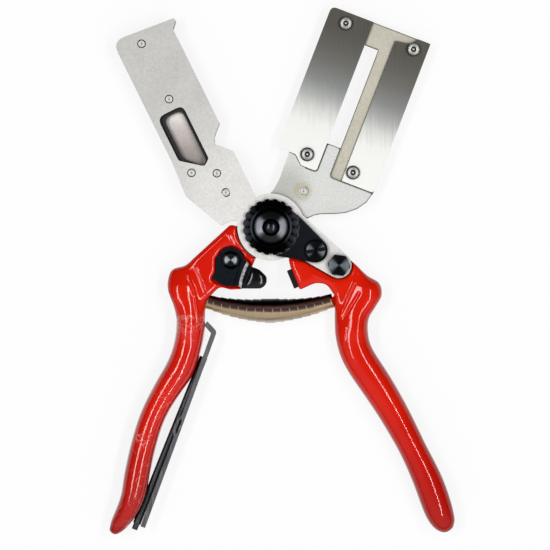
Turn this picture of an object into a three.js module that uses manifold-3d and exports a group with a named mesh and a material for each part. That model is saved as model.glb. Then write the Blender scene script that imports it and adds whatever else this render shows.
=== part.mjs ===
// Grafting shears with twin blades, lying open on their back.
// Millimetres. Z is up from the face that they lie on, and the origin is on the
// pivot's axis in that face. Y runs from the pivot to the blades.
// The right arm carries the blades and belongs to the left handle. The left arm
// is the counter plate, whose tang is bolted to the right handle.

import * as THREE from "three";
import { mergeVertices } from "three/addons/utils/BufferGeometryUtils.js";
import Module from "manifold-3d";

const wasm = await Module();
wasm.setup();

// Clearances
const GAP = 0.3;
const RIM_GAP = 0.5;
const OVERRUN = 1;

// Thicknesses of the pivot's stack, from the back to the front
const BOLT_HEAD_DEPTH = 2;
const EAR_DEPTH = 2.4;
const CARRIER_DEPTH = 3;
const COUNTER_DEPTH = 2.5;
const BACK_PLATE_DEPTH = 1.4;
const CHEEK_LIP = 1.2;

// Pivot, nut and its lock
const PIVOT_SHANK_RADIUS = 4;
const PIVOT_HEAD_RADIUS = 9;
const PIVOT_THREAD_RADIUS = 3.1;
const HUB_RADIUS = 13;
const NUT_RADIUS = 11.6;
const NUT_DEPTH = 2.3;
const NUT_TEETH = 20;
const NUT_ROOT_RADIUS = 8.7;
const NUT_FLANGE_RADIUS = 11;
const NUT_FLANGE_DEPTH = 0.9;
const NUT_NOTCH_FOOT = 0.9;
const NUT_NOTCH_MOUTH = 1.9;
const NUT_GROOVE_RADIUS = 7.9;
const NUT_GROOVE_DEPTH = 0.7;
const NUT_HUB_RADIUS = 6.8;
const NUT_HUB_HEIGHT = 2.3;
const NUT_HUB_SLOPE = 1.1;
const NUT_HUB_ROUND = 0.4;
const BOLT_DOME_HEIGHT = 1.3;
const LOCK_REACH = 20.8;
const LOCK_ANGLE = -27.7;
const LOCK_END_RADIUS = 5;
const LOCK_HEAD_RADIUS = 4.4;
const LOCK_HEAD_HEIGHT = 2;
const LOCK_SHANK_RADIUS = 2;
const LOCK_SLOT_WIDTH = 1.5;
const LOCK_SLOT_DEPTH = 0.9;
const LOCK_SLOT_ANGLE = 10;
const LOCK_HEAD_ROUND = 0.6;

// Counter arm: a front plate, a spacer and a back plate, with the blades between
const COUNTER_LEAN = 26.3;
const COUNTER_REACH = 97.8;
const COUNTER_WIDTH = 24.8;
const BOSS_RADIUS = 13.9;
const SPACER_SETBACK = 7.95;
const SPACER_FOOT = 17.6;
const WINDOW_LEDGE = 1.2;
const WINDOW_OUTER_LEDGE = 2;
const TANG_REACH = 32.2;
const TANG_ANGLE = -29.4;
const TANG_END_RADIUS = 5.3;
const TANG_ROOT_RADIUS = 12.5;
const TANG_BOLT_FLATS = 8.2;
const TANG_BOLT_HEAD = 3.4;
const TANG_BOLT_TURN = 23;
const TANG_BOLT_CHAMFER = 0.5;
const TANG_BOLT_RADIUS = 2.5;
const TANG_BOLT_REACH = 4.5;

// Carrier arm, from its cutting side to its outer side
const CARRIER_LEAN = 21;
const CARRIER_REACH = 94.5;
const CARRIER_EDGE = 4.1;
const MAIN_BLADE_WIDTH = 18.6;
const MAIN_BLADE_OVERHANG = 5.3;
const SECOND_BLADE_WIDTH = 14.1;
const BLADE_LENGTH = 66.1;
const BLADE_DEPTH = 1;
const BLADE_BEVEL = 2.2;
const SLOT_WIDTH = 6;
const SLOT_LENGTH = 43.7;
const SLOT_HEAD = 10;
const STRIP_WIDTH = 5.2;
const TAIL_RADIUS = 4.5;

// Small fasteners
const SCREW_RADIUS = 1.5;
const SCREW_HEAD_RADIUS = 2.9;
const SCREW_HEAD_HEIGHT = 1.5;
const SCREW_SOCKET_RADIUS = 1.2;
const SCREW_SOCKET_DEPTH = 0.8;
const PIN_RADIUS = 1.6;
const BACK_HEAD_HEIGHT = 1.2;

// Handles and grips
const HANDLE_LENGTH = 142;
const HANDLE_WIDTH = 13;
const HANDLE_EDGE = 1.3;
const LEFT_HANDLE_ANGLE = -116.7;
const RIGHT_HANDLE_ANGLE = -60;
const GRIP_DEPTH = 15;
const GRIP_WALL = 1.3;
const GRIP_STEP = 0.25;
const GRIP_SIDES = 16;
const RINGS_PER_ROW = 2;

// Catch on the left handle
const CATCH_FLOOR = 1;
const CATCH_SCREW_RADIUS = 2;
const CATCH_HEAD_RADIUS = 3.7;
const CATCH_HEAD_HEIGHT = 1;
const CATCH_TOP_RADIUS = 5.4;
const CATCH_SWING = 6;
const CATCH_SWING_STEPS = 2;
const CATCH_LENGTH = 11;
const CATCH_TONGUE_DEPTH = 1.2;
const CATCH_TONGUE_GAP = 0.8;
const THUMB_HEIGHT = 3.6;
const THUMB_EDGE = 1.2;

// Bumper on the right handle's nose
const PAD_LENGTH = 8;
const PAD_DEPTH = 1.2;
const PAD_MARGIN = 1;

// Volute spring
const SPRING_SAG = 4.1;
const SPRING_END_RADIUS = 2.6;
const SPRING_MIDDLE_RADIUS = 4.9;
const SPRING_TURNS = 14;
const SPRING_STEPS = 12;
const SPRING_STRIP_WIDTH = 2.6;
const SPRING_STRIP_DEPTH = 0.5;
const SPRING_END_BEND = 1.1;
const NUB_RADIUS = 1.5;
const NUB_LENGTH = 4.5;
const NUB_ROOT = 3;

// Two service keys that lie against the left grip
const KEY_GAP = 1.2;
const KEY_ANGLE = 69.6;
const KEY_WIDTH = 2;
const KEY_TOE_LENGTH = 4;
const KEY_TOE_TURN = 68;
const KEY_EYE_LENGTH = 7.4;
const KEY_EYE_WIDTH = 1.4;
const KEY_EYE_OFFSET = 0.6;
const KEY_SWELL_LENGTH = 11;
const KEY_SWELL_WIDTH = 3.4;
const KEY_SWELL_OFFSET = 0.7;
const ROD_GAP = 0.2;
const ROD_ANGLE = 68.1;
const ROD_RADIUS = 1.1;
const ROD_TIP_RADIUS = 0.8;
const ROD_TIP_LENGTH = 2.6;

// Facets of round pieces
const HEX_SIDES = 6;
const SMALL_SIDES = 16;
const LARGE_SIDES = 48;
const CORNER_SEGMENTS = 4;
const EDGE_SEGMENTS = 2;
const TIGHT_SHARE = 1.6;

// Outlines, as shares of the sizes named beside them. Rows are across, up and corner radius.
// Counter arm: across in COUNTER_WIDTH, up in COUNTER_REACH, radius in COUNTER_WIDTH
const COUNTER_ARM_SHARES = [
  [0, 0.05, 0],
  [0, 0.358, 0.03],
  [0.226, 0.419, 0.06],
  [0.177, 0.449, 0.06],
  [0, 0.491, 0.02],
  [0, 0.935, 0.02],
  [-0.1, 0.961, 0],
  [-0.093, 0.973, 0.01],
  [1, 1, 0.19],
  [1, 0.43, 0],
  [1.044, 0.275, 0.1],
];
// Its foot beside the boss, in BOSS_RADIUS
const COUNTER_FOOT_SHARES = [
  [1.31, 0.69, 0.07],
  [0.986, 0.7, 0.05],
  [0.79, 0.6, 0],
];
// Window: across in COUNTER_WIDTH, up in COUNTER_REACH, radius in COUNTER_WIDTH
const WINDOW_SHARES = [
  [0.423, 0.377, 0.05],
  [0.423, 0.627, 0.11],
  [0.891, 0.627, 0.13],
  [0.891, 0.424, 0.08],
  [0.54, 0.354, 0.06],
];
// Screws and pin through the counter arm: across in COUNTER_WIDTH, up in COUNTER_REACH
const COUNTER_SCREW_SHARES = [
  [0.58, 0.936],
  [0.577, 0.675],
  [0.786, 0.354],
  [0.411, 0.305],
];
const COUNTER_PIN_SHARE = [0.419, 0.215];
// Carrier's foot: across in its outer edge, up in the blades' foot
const FOOT_CURVE_SHARES = [
  [0.98, 0.76],
  [0.83, 0.6],
  [0.66, 0.515],
  [0.54, 0.455],
  [0.45, 0.44],
  [0.37, 0.31],
];
// Carrier's neck on the cutting side: across in CARRIER_EDGE, up in the blades' foot
const NECK_CURVE_SHARES = [
  [-1.56, 0.394],
  [-1.12, 0.48],
  [-1.02, 0.56],
  [-0.95, 0.72],
];
// Main blade's foot: across in MAIN_BLADE_WIDTH from its edge, up in MAIN_BLADE_WIDTH
const MAIN_FOOT_SHARES = [
  [0.634, 0, 0.07],
  [0.44, 0.188, 0.14],
  [0, 0.188, 0.04],
];
const MAIN_CORNER_SHARE = 0.13;
// Second blade's head: across in SECOND_BLADE_WIDTH from its inner edge, down in the same
const SECOND_HEAD_SHARES = [
  [1, 0, 0.07],
  [0.6, 0, 0.06],
  [0.46, 0.21, 0.16],
  [0, 0.29, 0],
];
const SECOND_CORNER_SHARE = 0.1;
// Blade screws and the carrier's pin: across in the named width, up in BLADE_LENGTH
const MAIN_SCREW_SHARES = [
  [0.435, 0.929],
  [0.678, 0.077],
];
const SECOND_SCREW_SHARES = [
  [0.588, 0.929],
  [0.226, 0.073],
];
const CARRIER_PIN_SHARE = [0.211, 0.658];

// Cheeks of the handles: across, up and corner radius in HANDLE_LENGTH
const LEFT_CHEEK_SHARES = [
  [-0.1197, 0.0063, 0.008],
  [-0.088, 0.0042, 0],
  [-0.0401, -0.0803, 0],
  [-0.0824, -0.1803, 0.008],
  [-0.1197, -0.1824, 0.02],
  [-0.1493, -0.1732, 0.02],
  [-0.1915, -0.2155, 0.018],
  [-0.1901, -0.25, 0],
  [-0.2775, -0.25, 0],
  [-0.3042, -0.1725, 0.04],
  [-0.2958, -0.1141, 0.03],
  [-0.2535, -0.1162, 0.02],
];
const RIGHT_CHEEK_SHARES = [
  [0.0606, -0.0775, 0.006],
  [0.0507, -0.0915, 0.006],
  [0.0556, -0.1148, 0],
  [0.0838, -0.1831, 0.01],
  [0.1303, -0.162, 0.04],
  [0.162, -0.1662, 0.028],
  [0.1852, -0.1986, 0.014],
  [0.1852, -0.255, 0],
  [0.291, -0.255, 0],
  [0.3282, -0.1972, 0.035],
  [0.3211, -0.1549, 0.028],
  [0.2873, -0.1472, 0.007],
  [0.2366, -0.0993, 0.006],
  [0.2197, -0.0831, 0.003],
  [0.1444, -0.0155, 0.003],
  [0.0915, -0.0317, 0],
];
// Handles and grips: rows are along and aside in HANDLE_LENGTH, half the width in
// HANDLE_WIDTH, and half the height in GRIP_DEPTH
const LEFT_GRIP_SHARES = [
  [0.265, -0.1345, 0.54, 0.32],
  [0.308, -0.112, 0.508, 0.373],
  [0.351, -0.0845, 0.492, 0.44],
  [0.396, -0.0669, 0.473, 0.485],
  [0.444, -0.0563, 0.465, 0.5],
  [0.49, -0.0521, 0.471, 0.5],
  [0.542, -0.057, 0.446, 0.49],
  [0.606, -0.0613, 0.419, 0.48],
  [0.662, -0.0592, 0.412, 0.47],
  [0.722, -0.0493, 0.412, 0.465],
  [0.775, -0.0373, 0.412, 0.465],
  [0.834, -0.0211, 0.415, 0.46],
  [0.88, -0.0077, 0.392, 0.44],
  [0.93, -0.0042, 0.345, 0.39],
  [0.977, -0.0085, 0.27, 0.3],
  [1.005, -0.014, 0.12, 0.14],
];
const RIGHT_GRIP_SHARES = [
  [0.285, 0.1282, 0.6, 0.32],
  [0.32, 0.0923, 0.615, 0.373],
  [0.362, 0.0605, 0.565, 0.44],
  [0.415, 0.037, 0.54, 0.485],
  [0.465, 0.0315, 0.54, 0.5],
  [0.539, 0.036, 0.53, 0.5],
  [0.627, 0.0395, 0.495, 0.49],
  [0.711, 0.038, 0.462, 0.475],
  [0.775, 0.0345, 0.442, 0.465],
  [0.859, 0.0282, 0.477, 0.47],
  [0.923, 0.0176, 0.485, 0.47],
  [0.972, 0.0085, 0.454, 0.44],
  [1.008, 0.0075, 0.34, 0.34],
  [1.026, 0.0085, 0.14, 0.15],
];
const GRIP_FIRST_ROW = 2;
const CORE_ROWS_LEFT_OFF = 3;
const GRIP_SQUARENESS_SHARE = 0.86;

// Catch: screw in HANDLE_LENGTH, outline across and up from its screw in CATCH_LENGTH
const CATCH_SCREW_SHARE = [-0.1169, -0.0958];
const CATCH_PLATE_SHARES = [
  [0.34, 0.34, 0.1],
  [0.5, 0.02, 0.12],
  [0.22, -0.98, 0.12],
  [-0.2, -0.99, 0.2],
  [-0.72, -0.7, 0.08],
  [-0.56, -0.44, 0.06],
  [-0.56, 0.05, 0.16],
  [-0.3, 0.34, 0.2],
];
const CATCH_BAND_SHARES = [
  [0.44, 0.04, 0],
  [0.56, 0, 0.02],
  [0.74, -0.22, 0.3],
  [0.42, -1.02, 0.04],
  [0.16, -0.96, 0],
];
const TONGUE_SHARES = [
  [0.62, -0.2, 0],
  [0.74, -0.23, 0.04],
  [1.08, -0.36, 0.2],
  [1.35, -0.62, 0.2],
  [1.35, -0.86, 0.12],
  [1.14, -1.07, 0.16],
  [0.36, -1.07, 0.03],
];
const THUMB_SHARES = [
  [0.78, -0.29, 0],
  [1.06, -0.4, 0.2],
  [1.29, -0.63, 0.2],
  [1.29, -0.86, 0.16],
  [1.12, -1.01, 0.16],
  [0.5, -1.01, 0],
];

// Bumper: its middle on the nose in HANDLE_LENGTH
const PAD_SHARE = [0.0648, -0.1502];
const PAD_ANGLE = -67.5;

// Spring seats on the handles, in HANDLE_LENGTH
const LEFT_SEAT_SHARE = [-0.1873, -0.2165];
const RIGHT_SEAT_SHARE = [0.1824, -0.2127];

// Service keys: foot and head along their own headings in HANDLE_LENGTH, eye in the key's length
const KEY_SHARES = [-0.949, -0.35];
const KEY_EYE_SHARE = 0.52;
const ROD_SHARES = [-0.949, -0.425];

// Levels above the face that the shears lie on
const earBottom = BOLT_HEAD_DEPTH + GAP;
const earTop = earBottom + EAR_DEPTH;
const carrierBottom = earTop + GAP;
const carrierTop = carrierBottom + CARRIER_DEPTH;
const counterBottom = carrierTop + GAP;
const counterTop = counterBottom + COUNTER_DEPTH;
const nutBottom = counterTop + GAP;
const nutTop = nutBottom + NUT_DEPTH;
const cheekTop = counterTop + CHEEK_LIP;
const spacerTop = counterBottom - GAP;
const spacerBottom = spacerTop - CARRIER_DEPTH - GAP;
const backPlateTop = spacerBottom - GAP;
const backPlateBottom = backPlateTop - BACK_PLATE_DEPTH;
const bladeBottom = carrierTop - BLADE_DEPTH;
const pocketFloor = bladeBottom - GAP;
const gripMiddle = GRIP_DEPTH / 2;
const catchFloor = counterBottom + CATCH_FLOOR;
const tongueTop = cheekTop + CATCH_TONGUE_GAP + CATCH_TONGUE_DEPTH;
const rimRadius = BOSS_RADIUS + RIM_GAP;

// Places across the carrier, and up it
const mainBladeLeft = -CARRIER_EDGE - MAIN_BLADE_OVERHANG;
const mainBladeRight = mainBladeLeft + MAIN_BLADE_WIDTH;
const slotRight = mainBladeRight + SLOT_WIDTH;
const secondBladeLeft = slotRight + STRIP_WIDTH;
const carrierRight = secondBladeLeft + SECOND_BLADE_WIDTH;
const bladeFoot = CARRIER_REACH - BLADE_LENGTH;
const slotTop = CARRIER_REACH - SLOT_HEAD;

// Plane geometry

// A place turned about the pivot
function turnedPlace([x, y], degrees) {
  const place = new THREE.Vector2(x, y);
  return place.rotateAround(new THREE.Vector2(), THREE.MathUtils.degToRad(degrees)).toArray();
}

function scaled(shares, across, up = across) {
  return shares.map(([x, y, round = 0]) => [x * across, y * up, round * across]);
}

// A closed outline whose corners are rounded, each by its own radius
function outline(corners) {
  const shape = new THREE.Shape();
  const count = corners.length;
  corners.forEach(([x, y, round = 0], index) => {
    const [[backX, backY], [aheadX, aheadY]] = [
      corners[(index + count - 1) % count],
      corners[(index + 1) % count],
    ];
    const corner = new THREE.Vector2(x, y);
    const back = new THREE.Vector2(backX - x, backY - y);
    const ahead = new THREE.Vector2(aheadX - x, aheadY - y);
    const half = back.angleTo(ahead) / 2;
    const room = Math.min(back.length(), ahead.length()) / 2;
    const cut = Math.min(round / Math.tan(half), room);
    const start = corner.clone().addScaledVector(back.normalize(), cut);
    const end = corner.clone().addScaledVector(ahead.normalize(), cut);
    if (index === 0) shape.moveTo(start.x, start.y);
    else shape.lineTo(start.x, start.y);
    if (cut > 0) shape.quadraticCurveTo(x, y, end.x, end.y);
  });
  shape.closePath();
  return shape;
}

function rectangle(left, bottom, right, top) {
  return outline([[left, bottom], [right, bottom], [right, top], [left, top]]);
}

// Two circles and their outer tangents
function teardrop([x1, y1], radius1, [x2, y2], radius2) {
  const heading = Math.atan2(y2 - y1, x2 - x1);
  const spread = Math.acos((radius1 - radius2) / Math.hypot(x2 - x1, y2 - y1));
  const shape = new THREE.Shape();
  shape.absarc(x1, y1, radius1, heading + spread, heading - spread + 2 * Math.PI, false);
  shape.absarc(x2, y2, radius2, heading - spread, heading + spread, false);
  shape.closePath();
  return shape;
}

// A pointed oval about a place on the X axis
function lens(middle, offset, length, width) {
  const shape = new THREE.Shape();
  shape.moveTo(middle - length / 2, offset);
  shape.quadraticCurveTo(middle, offset - width, middle + length / 2, offset);
  shape.quadraticCurveTo(middle, offset + width, middle - length / 2, offset);
  return shape;
}

// Solids

function solid(geometry) {
  const bare = geometry.clone();
  bare.deleteAttribute("normal");
  bare.deleteAttribute("uv");
  const merged = mergeVertices(bare);
  return new wasm.Manifold(new wasm.Mesh({
    numProp: 3,
    vertProperties: merged.attributes.position.array,
    triVerts: Uint32Array.from(merged.index.array),
  }));
}

function geometryOf(manifold) {
  const { vertProperties, triVerts } = manifold.getMesh();
  const geometry = new THREE.BufferGeometry();
  geometry.setAttribute("position", new THREE.BufferAttribute(Float32Array.from(vertProperties), 3));
  geometry.setIndex(new THREE.BufferAttribute(Uint32Array.from(triVerts), 1));
  return geometry;
}

function slab(shape, bottom, top) {
  const settings = { depth: top - bottom, bevelEnabled: false, curveSegments: CORNER_SEGMENTS };
  return solid(new THREE.ExtrudeGeometry(shape, settings).translate(0, 0, bottom));
}

// A slab whose upper and lower edges are rounded. Tight corners stay sharp in plan, because
// the rounded edge would fold over there.
function softSlab(corners, bottom, top, edge) {
  const open = corners.map(([x, y, round]) => [x, y, round < TIGHT_SHARE * edge ? 0 : round]);
  const geometry = new THREE.ExtrudeGeometry(outline(open), {
    depth: top - bottom - 2 * edge,
    curveSegments: CORNER_SEGMENTS,
    bevelThickness: edge,
    bevelSize: edge,
    bevelOffset: -edge,
    bevelSegments: EDGE_SEGMENTS,
  });
  return solid(geometry.translate(0, 0, bottom + edge));
}

function disc(radius, bottom, top, [x, y] = [0, 0], sides = SMALL_SIDES) {
  const geometry = new THREE.CylinderGeometry(radius, radius, top - bottom, sides);
  geometry.rotateX(Math.PI / 2).translate(x, y, (top + bottom) / 2);
  return solid(geometry);
}

// A round piece about the Z axis from its half section, rows of radius and height
function turned(section, [x, y] = [0, 0], sides = SMALL_SIDES) {
  const points = section.map(([radius, height]) => new THREE.Vector2(radius, height));
  const geometry = new THREE.LatheGeometry(points, sides);
  geometry.rotateX(Math.PI / 2).translate(x, y, 0);
  return solid(geometry);
}

function rod(from, to, radius, sides = SMALL_SIDES) {
  const way = to.clone().sub(from);
  const geometry = new THREE.CylinderGeometry(radius, radius, way.length(), sides);
  const turn = new THREE.Quaternion().setFromUnitVectors(
    new THREE.Vector3(0, 1, 0),
    way.clone().normalize(),
  );
  geometry.applyQuaternion(turn);
  geometry.translate(...from.clone().add(to).divideScalar(2).toArray());
  return solid(geometry);
}

function without(body, cutters) {
  return cutters.reduce((left, cutter) => left.subtract(cutter), body);
}

function joined(bodies) {
  return bodies.reduce((left, body) => left.add(body));
}

// A closed skin over rings of equally many points, each ring anticlockwise about the way ahead
function skin(rings) {
  const sides = rings[0].length;
  const points = rings.flat();
  const faces = [];
  rings.slice(1).forEach((_, ring) => {
    for (let side = 0; side < sides; side += 1) {
      const next = (side + 1) % sides;
      const a = ring * sides + side;
      const b = ring * sides + next;
      faces.push(a, b, b + sides, a, b + sides, a + sides);
    }
  });
  const last = (rings.length - 1) * sides;
  [0, last].forEach((base) => {
    const middle = new THREE.Vector3();
    rings[base / sides].forEach((point) => middle.addScaledVector(point, 1 / sides));
    const hub = points.push(middle) - 1;
    for (let side = 0; side < sides; side += 1) {
      const next = (side + 1) % sides;
      if (base === 0) faces.push(hub, next, side);
      else faces.push(hub, base + side, base + next);
    }
  });
  const geometry = new THREE.BufferGeometry().setFromPoints(points);
  geometry.setIndex(faces);
  return geometry;
}

// Materials

const RED = { color: 0xd81e0a, roughness: 0.28, metalness: 0 };
const DARK_RED = { color: 0xc21808, roughness: 0.32, metalness: 0 };
const STEEL = { color: 0xd6d6d2, roughness: 0.38, metalness: 1 };
const BLADE_STEEL = { color: 0xbdbdb8, roughness: 0.22, metalness: 1 };
const DULL_STEEL = { color: 0x8e8f90, roughness: 0.45, metalness: 1 };
const SPACER_STEEL = { color: 0x4a4a4c, roughness: 0.5, metalness: 1 };
const BLACK_STEEL = { color: 0x1a1c22, roughness: 0.35, metalness: 0.6 };
const BLACK_PLASTIC = { color: 0x15161a, roughness: 0.3, metalness: 0 };
const RUBBER = { color: 0x161616, roughness: 0.8, metalness: 0 };
const SPRING_STEEL = { color: 0x8c7b64, roughness: 0.35, metalness: 1 };

const shears = new THREE.Group();
const counterArm = new THREE.Group();
const carrierArm = new THREE.Group();
counterArm.rotation.z = THREE.MathUtils.degToRad(COUNTER_LEAN);
carrierArm.rotation.z = -THREE.MathUtils.degToRad(CARRIER_LEAN);
shears.add(counterArm, carrierArm);

function addPiece(group, name, material, body) {
  const geometry = body instanceof THREE.BufferGeometry ? body : geometryOf(body);
  const mesh = new THREE.Mesh(geometry, new THREE.MeshStandardMaterial(material));
  mesh.name = name;
  group.add(mesh);
}

// Counter arm. Its own frame has Y along the arm, and the arm lies on the minus X side.

const counterScrews = scaled(COUNTER_SCREW_SHARES, -COUNTER_WIDTH, COUNTER_REACH);
const counterPin = scaled([COUNTER_PIN_SHARE], -COUNTER_WIDTH, COUNTER_REACH)[0];
const tangTurn = TANG_ANGLE - COUNTER_LEAN;
const tangBoltPlace = turnedPlace([TANG_REACH, 0], TANG_ANGLE);
const lockScrewPlace = turnedPlace([LOCK_REACH, 0], LOCK_ANGLE);
const tangBoltInArm = turnedPlace(tangBoltPlace, -COUNTER_LEAN);
const lockScrewInArm = turnedPlace(lockScrewPlace, -COUNTER_LEAN);

function mirroredOutline(corners) {
  return outline(corners.map(([x, y, round]) => [-x, y, Math.abs(round)]).reverse());
}

function armShape() {
  const arm = scaled(COUNTER_ARM_SHARES, COUNTER_WIDTH, COUNTER_REACH);
  const foot = scaled(COUNTER_FOOT_SHARES, BOSS_RADIUS);
  return mirroredOutline([...arm, ...foot]);
}

function windowShape(ledge, outerLedge) {
  const corners = scaled(WINDOW_SHARES, COUNTER_WIDTH, COUNTER_REACH);
  const right = Math.max(...corners.map(([x]) => x));
  const left = Math.min(...corners.map(([x]) => x));
  const top = Math.max(...corners.map(([, y]) => y));
  return mirroredOutline(corners.map(([x, y, round]) => {
    if (x === right) return [x - outerLedge, y === top ? y - ledge : y, round];
    return [x === left ? x + ledge : x, y === top ? y - ledge : y, round];
  }));
}

// The tang in a frame with X from the pivot to its bolt
function tangSolid(spread, bottom, top, turn) {
  const end = TANG_END_RADIUS + spread;
  const root = TANG_ROOT_RADIUS + spread;
  const slope = Math.acos((root - end) / TANG_REACH);
  const shape = new THREE.Shape();
  shape.moveTo(0, -end);
  shape.lineTo(TANG_REACH, -end);
  shape.absarc(TANG_REACH, 0, end, -Math.PI / 2, slope, false);
  shape.lineTo(root * Math.cos(slope), root * Math.sin(slope));
  shape.closePath();
  return slab(shape, bottom, top).rotate([0, 0, turn]);
}

function screwHoles(places, radius, bottom, top) {
  return places.map((place) => disc(radius + GAP, bottom - OVERRUN, top + OVERRUN, place));
}

function counterPlate() {
  const body = joined([
    slab(armShape(), counterBottom, counterTop),
    disc(BOSS_RADIUS, counterBottom, counterTop, [0, 0], LARGE_SIDES),
    tangSolid(0, counterBottom, counterTop, tangTurn),
  ]);
  return without(body, [
    slab(windowShape(0, 0), counterBottom - OVERRUN, counterTop + OVERRUN),
    ...screwHoles([[0, 0]], PIVOT_SHANK_RADIUS, counterBottom, counterTop),
    ...screwHoles([tangBoltInArm], TANG_BOLT_RADIUS, counterBottom, counterTop),
    ...screwHoles([lockScrewInArm], LOCK_SHANK_RADIUS, counterBottom, counterTop),
    ...screwHoles(counterScrews, SCREW_RADIUS, counterBottom, counterTop),
    ...screwHoles([counterPin], PIN_RADIUS, counterBottom, counterTop),
  ]);
}

// A layer of the arm behind the front plate, from its foot up
function armLayer(bottom, top, setback) {
  const far = COUNTER_REACH + COUNTER_WIDTH;
  const keep = slab(rectangle(-far, SPACER_FOOT, -setback, far), bottom, top);
  return without(slab(armShape(), bottom, top).intersect(keep), [
    ...screwHoles(counterScrews, SCREW_RADIUS, bottom, top),
    ...screwHoles([counterPin], PIN_RADIUS, bottom, top),
  ]);
}

function counterSpacer() {
  const window = windowShape(WINDOW_LEDGE, WINDOW_OUTER_LEDGE);
  const layer = armLayer(spacerBottom, spacerTop, SPACER_SETBACK);
  return layer.subtract(slab(window, spacerBottom - OVERRUN, spacerTop + OVERRUN));
}

function counterBackPlate() {
  return armLayer(backPlateBottom, backPlateTop, -COUNTER_WIDTH);
}

addPiece(counterArm, "counter_plate", STEEL, counterPlate());
addPiece(counterArm, "counter_spacer", SPACER_STEEL, counterSpacer());
addPiece(counterArm, "counter_back_plate", BLADE_STEEL, counterBackPlate());

counterScrews.forEach((place, index) => {
  const seat = backPlateBottom - GAP;
  addPiece(counterArm, `counter_screw_${index + 1}`, DULL_STEEL, turned([
    [0, seat - BACK_HEAD_HEIGHT],
    [SCREW_HEAD_RADIUS, seat - BACK_HEAD_HEIGHT],
    [SCREW_HEAD_RADIUS, seat],
    [SCREW_RADIUS, seat],
    [SCREW_RADIUS, counterTop],
    [0, counterTop],
  ], place));
});
addPiece(counterArm, "counter_pin", DULL_STEEL, disc(PIN_RADIUS, backPlateBottom, counterTop, counterPin));

// Carrier arm. Its own frame has Y along the arm and X towards its outer side.

const mainScrews = MAIN_SCREW_SHARES.map(([across, up]) => [
  mainBladeLeft + across * MAIN_BLADE_WIDTH,
  bladeFoot + up * BLADE_LENGTH,
]);
const secondScrews = SECOND_SCREW_SHARES.map(([across, up]) => [
  secondBladeLeft + across * SECOND_BLADE_WIDTH,
  bladeFoot + up * BLADE_LENGTH,
]);
const carrierPin = [CARRIER_PIN_SHARE[0] * carrierRight, CARRIER_PIN_SHARE[1] * bladeFoot];
const catchScrew = CATCH_SCREW_SHARE.map((share) => share * HANDLE_LENGTH);

function mainBladeShape(spread) {
  const foot = MAIN_FOOT_SHARES.map(([across, up, round]) => [
    mainBladeLeft + across * MAIN_BLADE_WIDTH - spread * Math.sign(MAIN_FOOT_SHARES[0][0] - across + up),
    bladeFoot + up * MAIN_BLADE_WIDTH - spread,
    round * MAIN_BLADE_WIDTH,
  ]);
  return outline([
    [mainBladeLeft - spread, CARRIER_REACH + spread, MAIN_CORNER_SHARE * MAIN_BLADE_WIDTH],
    ...foot.slice().reverse(),
    [mainBladeRight + spread, bladeFoot - spread, MAIN_FOOT_SHARES[0][2] * MAIN_BLADE_WIDTH],
    [mainBladeRight + spread, CARRIER_REACH + spread],
  ]);
}

function secondBladeShape() {
  const head = SECOND_HEAD_SHARES.map(([across, down, round]) => [
    secondBladeLeft + across * SECOND_BLADE_WIDTH,
    CARRIER_REACH - down * SECOND_BLADE_WIDTH,
    round * SECOND_BLADE_WIDTH,
  ]);
  return outline([
    [secondBladeLeft, bladeFoot],
    [carrierRight, bladeFoot, SECOND_CORNER_SHARE * SECOND_BLADE_WIDTH],
    ...head,
  ]);
}

function carrierShape() {
  const foot = scaled(FOOT_CURVE_SHARES, carrierRight, bladeFoot).map(([x, y]) => [x, y]);
  const neck = scaled(NECK_CURVE_SHARES, CARRIER_EDGE, bladeFoot).map(([x, y]) => [x, y]);
  const shape = new THREE.Shape();
  shape.moveTo(-CARRIER_EDGE, CARRIER_REACH);
  shape.lineTo(-CARRIER_EDGE, bladeFoot);
  shape.lineTo(...neck[3]);
  shape.bezierCurveTo(...neck[2], ...neck[1], ...neck[0]);
  shape.lineTo(0, 0);
  shape.lineTo(...foot[5]);
  shape.bezierCurveTo(...foot[4], ...foot[3], ...foot[2]);
  shape.bezierCurveTo(...foot[1], ...foot[0], carrierRight, bladeFoot);
  shape.lineTo(carrierRight, CARRIER_REACH);
  shape.closePath();
  return shape;
}

// The tail that the left handle holds, in the shears' frame
function tailSolid(spread, bottom, top) {
  const end = TAIL_RADIUS + spread;
  return slab(teardrop([0, 0], end + OVERRUN, catchScrew, end), bottom, top);
}

function carrierPlate() {
  const body = joined([
    slab(carrierShape(), carrierBottom, carrierTop),
    disc(HUB_RADIUS, carrierBottom, carrierTop, [0, 0], LARGE_SIDES),
    tailSolid(0, carrierBottom, carrierTop).rotate([0, 0, CARRIER_LEAN]),
  ]);
  const above = carrierTop + OVERRUN;
  const beyond = CARRIER_REACH + OVERRUN;
  const slotBottom = slotTop - SLOT_LENGTH;
  return without(body, [
    slab(rectangle(mainBladeRight, slotBottom, slotRight, slotTop), carrierBottom - OVERRUN, above),
    slab(mainBladeShape(GAP), pocketFloor, above),
    slab(rectangle(mainBladeRight, slotTop, carrierRight + OVERRUN, beyond), pocketFloor, above),
    slab(outline([
      [slotRight, bladeFoot - GAP, SECOND_CORNER_SHARE * SECOND_BLADE_WIDTH],
      [carrierRight + OVERRUN, bladeFoot - GAP],
      [carrierRight + OVERRUN, beyond],
      [slotRight, beyond],
    ]), pocketFloor, above),
    ...screwHoles([...mainScrews, ...secondScrews], SCREW_RADIUS, carrierBottom, carrierTop),
    ...screwHoles([[0, 0]], PIVOT_SHANK_RADIUS, carrierBottom, carrierTop),
    ...screwHoles([carrierPin], PIN_RADIUS, carrierBottom, carrierTop),
    disc(CATCH_SCREW_RADIUS + GAP, carrierBottom - OVERRUN, above, catchScrew).rotate([0, 0, CARRIER_LEAN]),
  ]);
}

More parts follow.
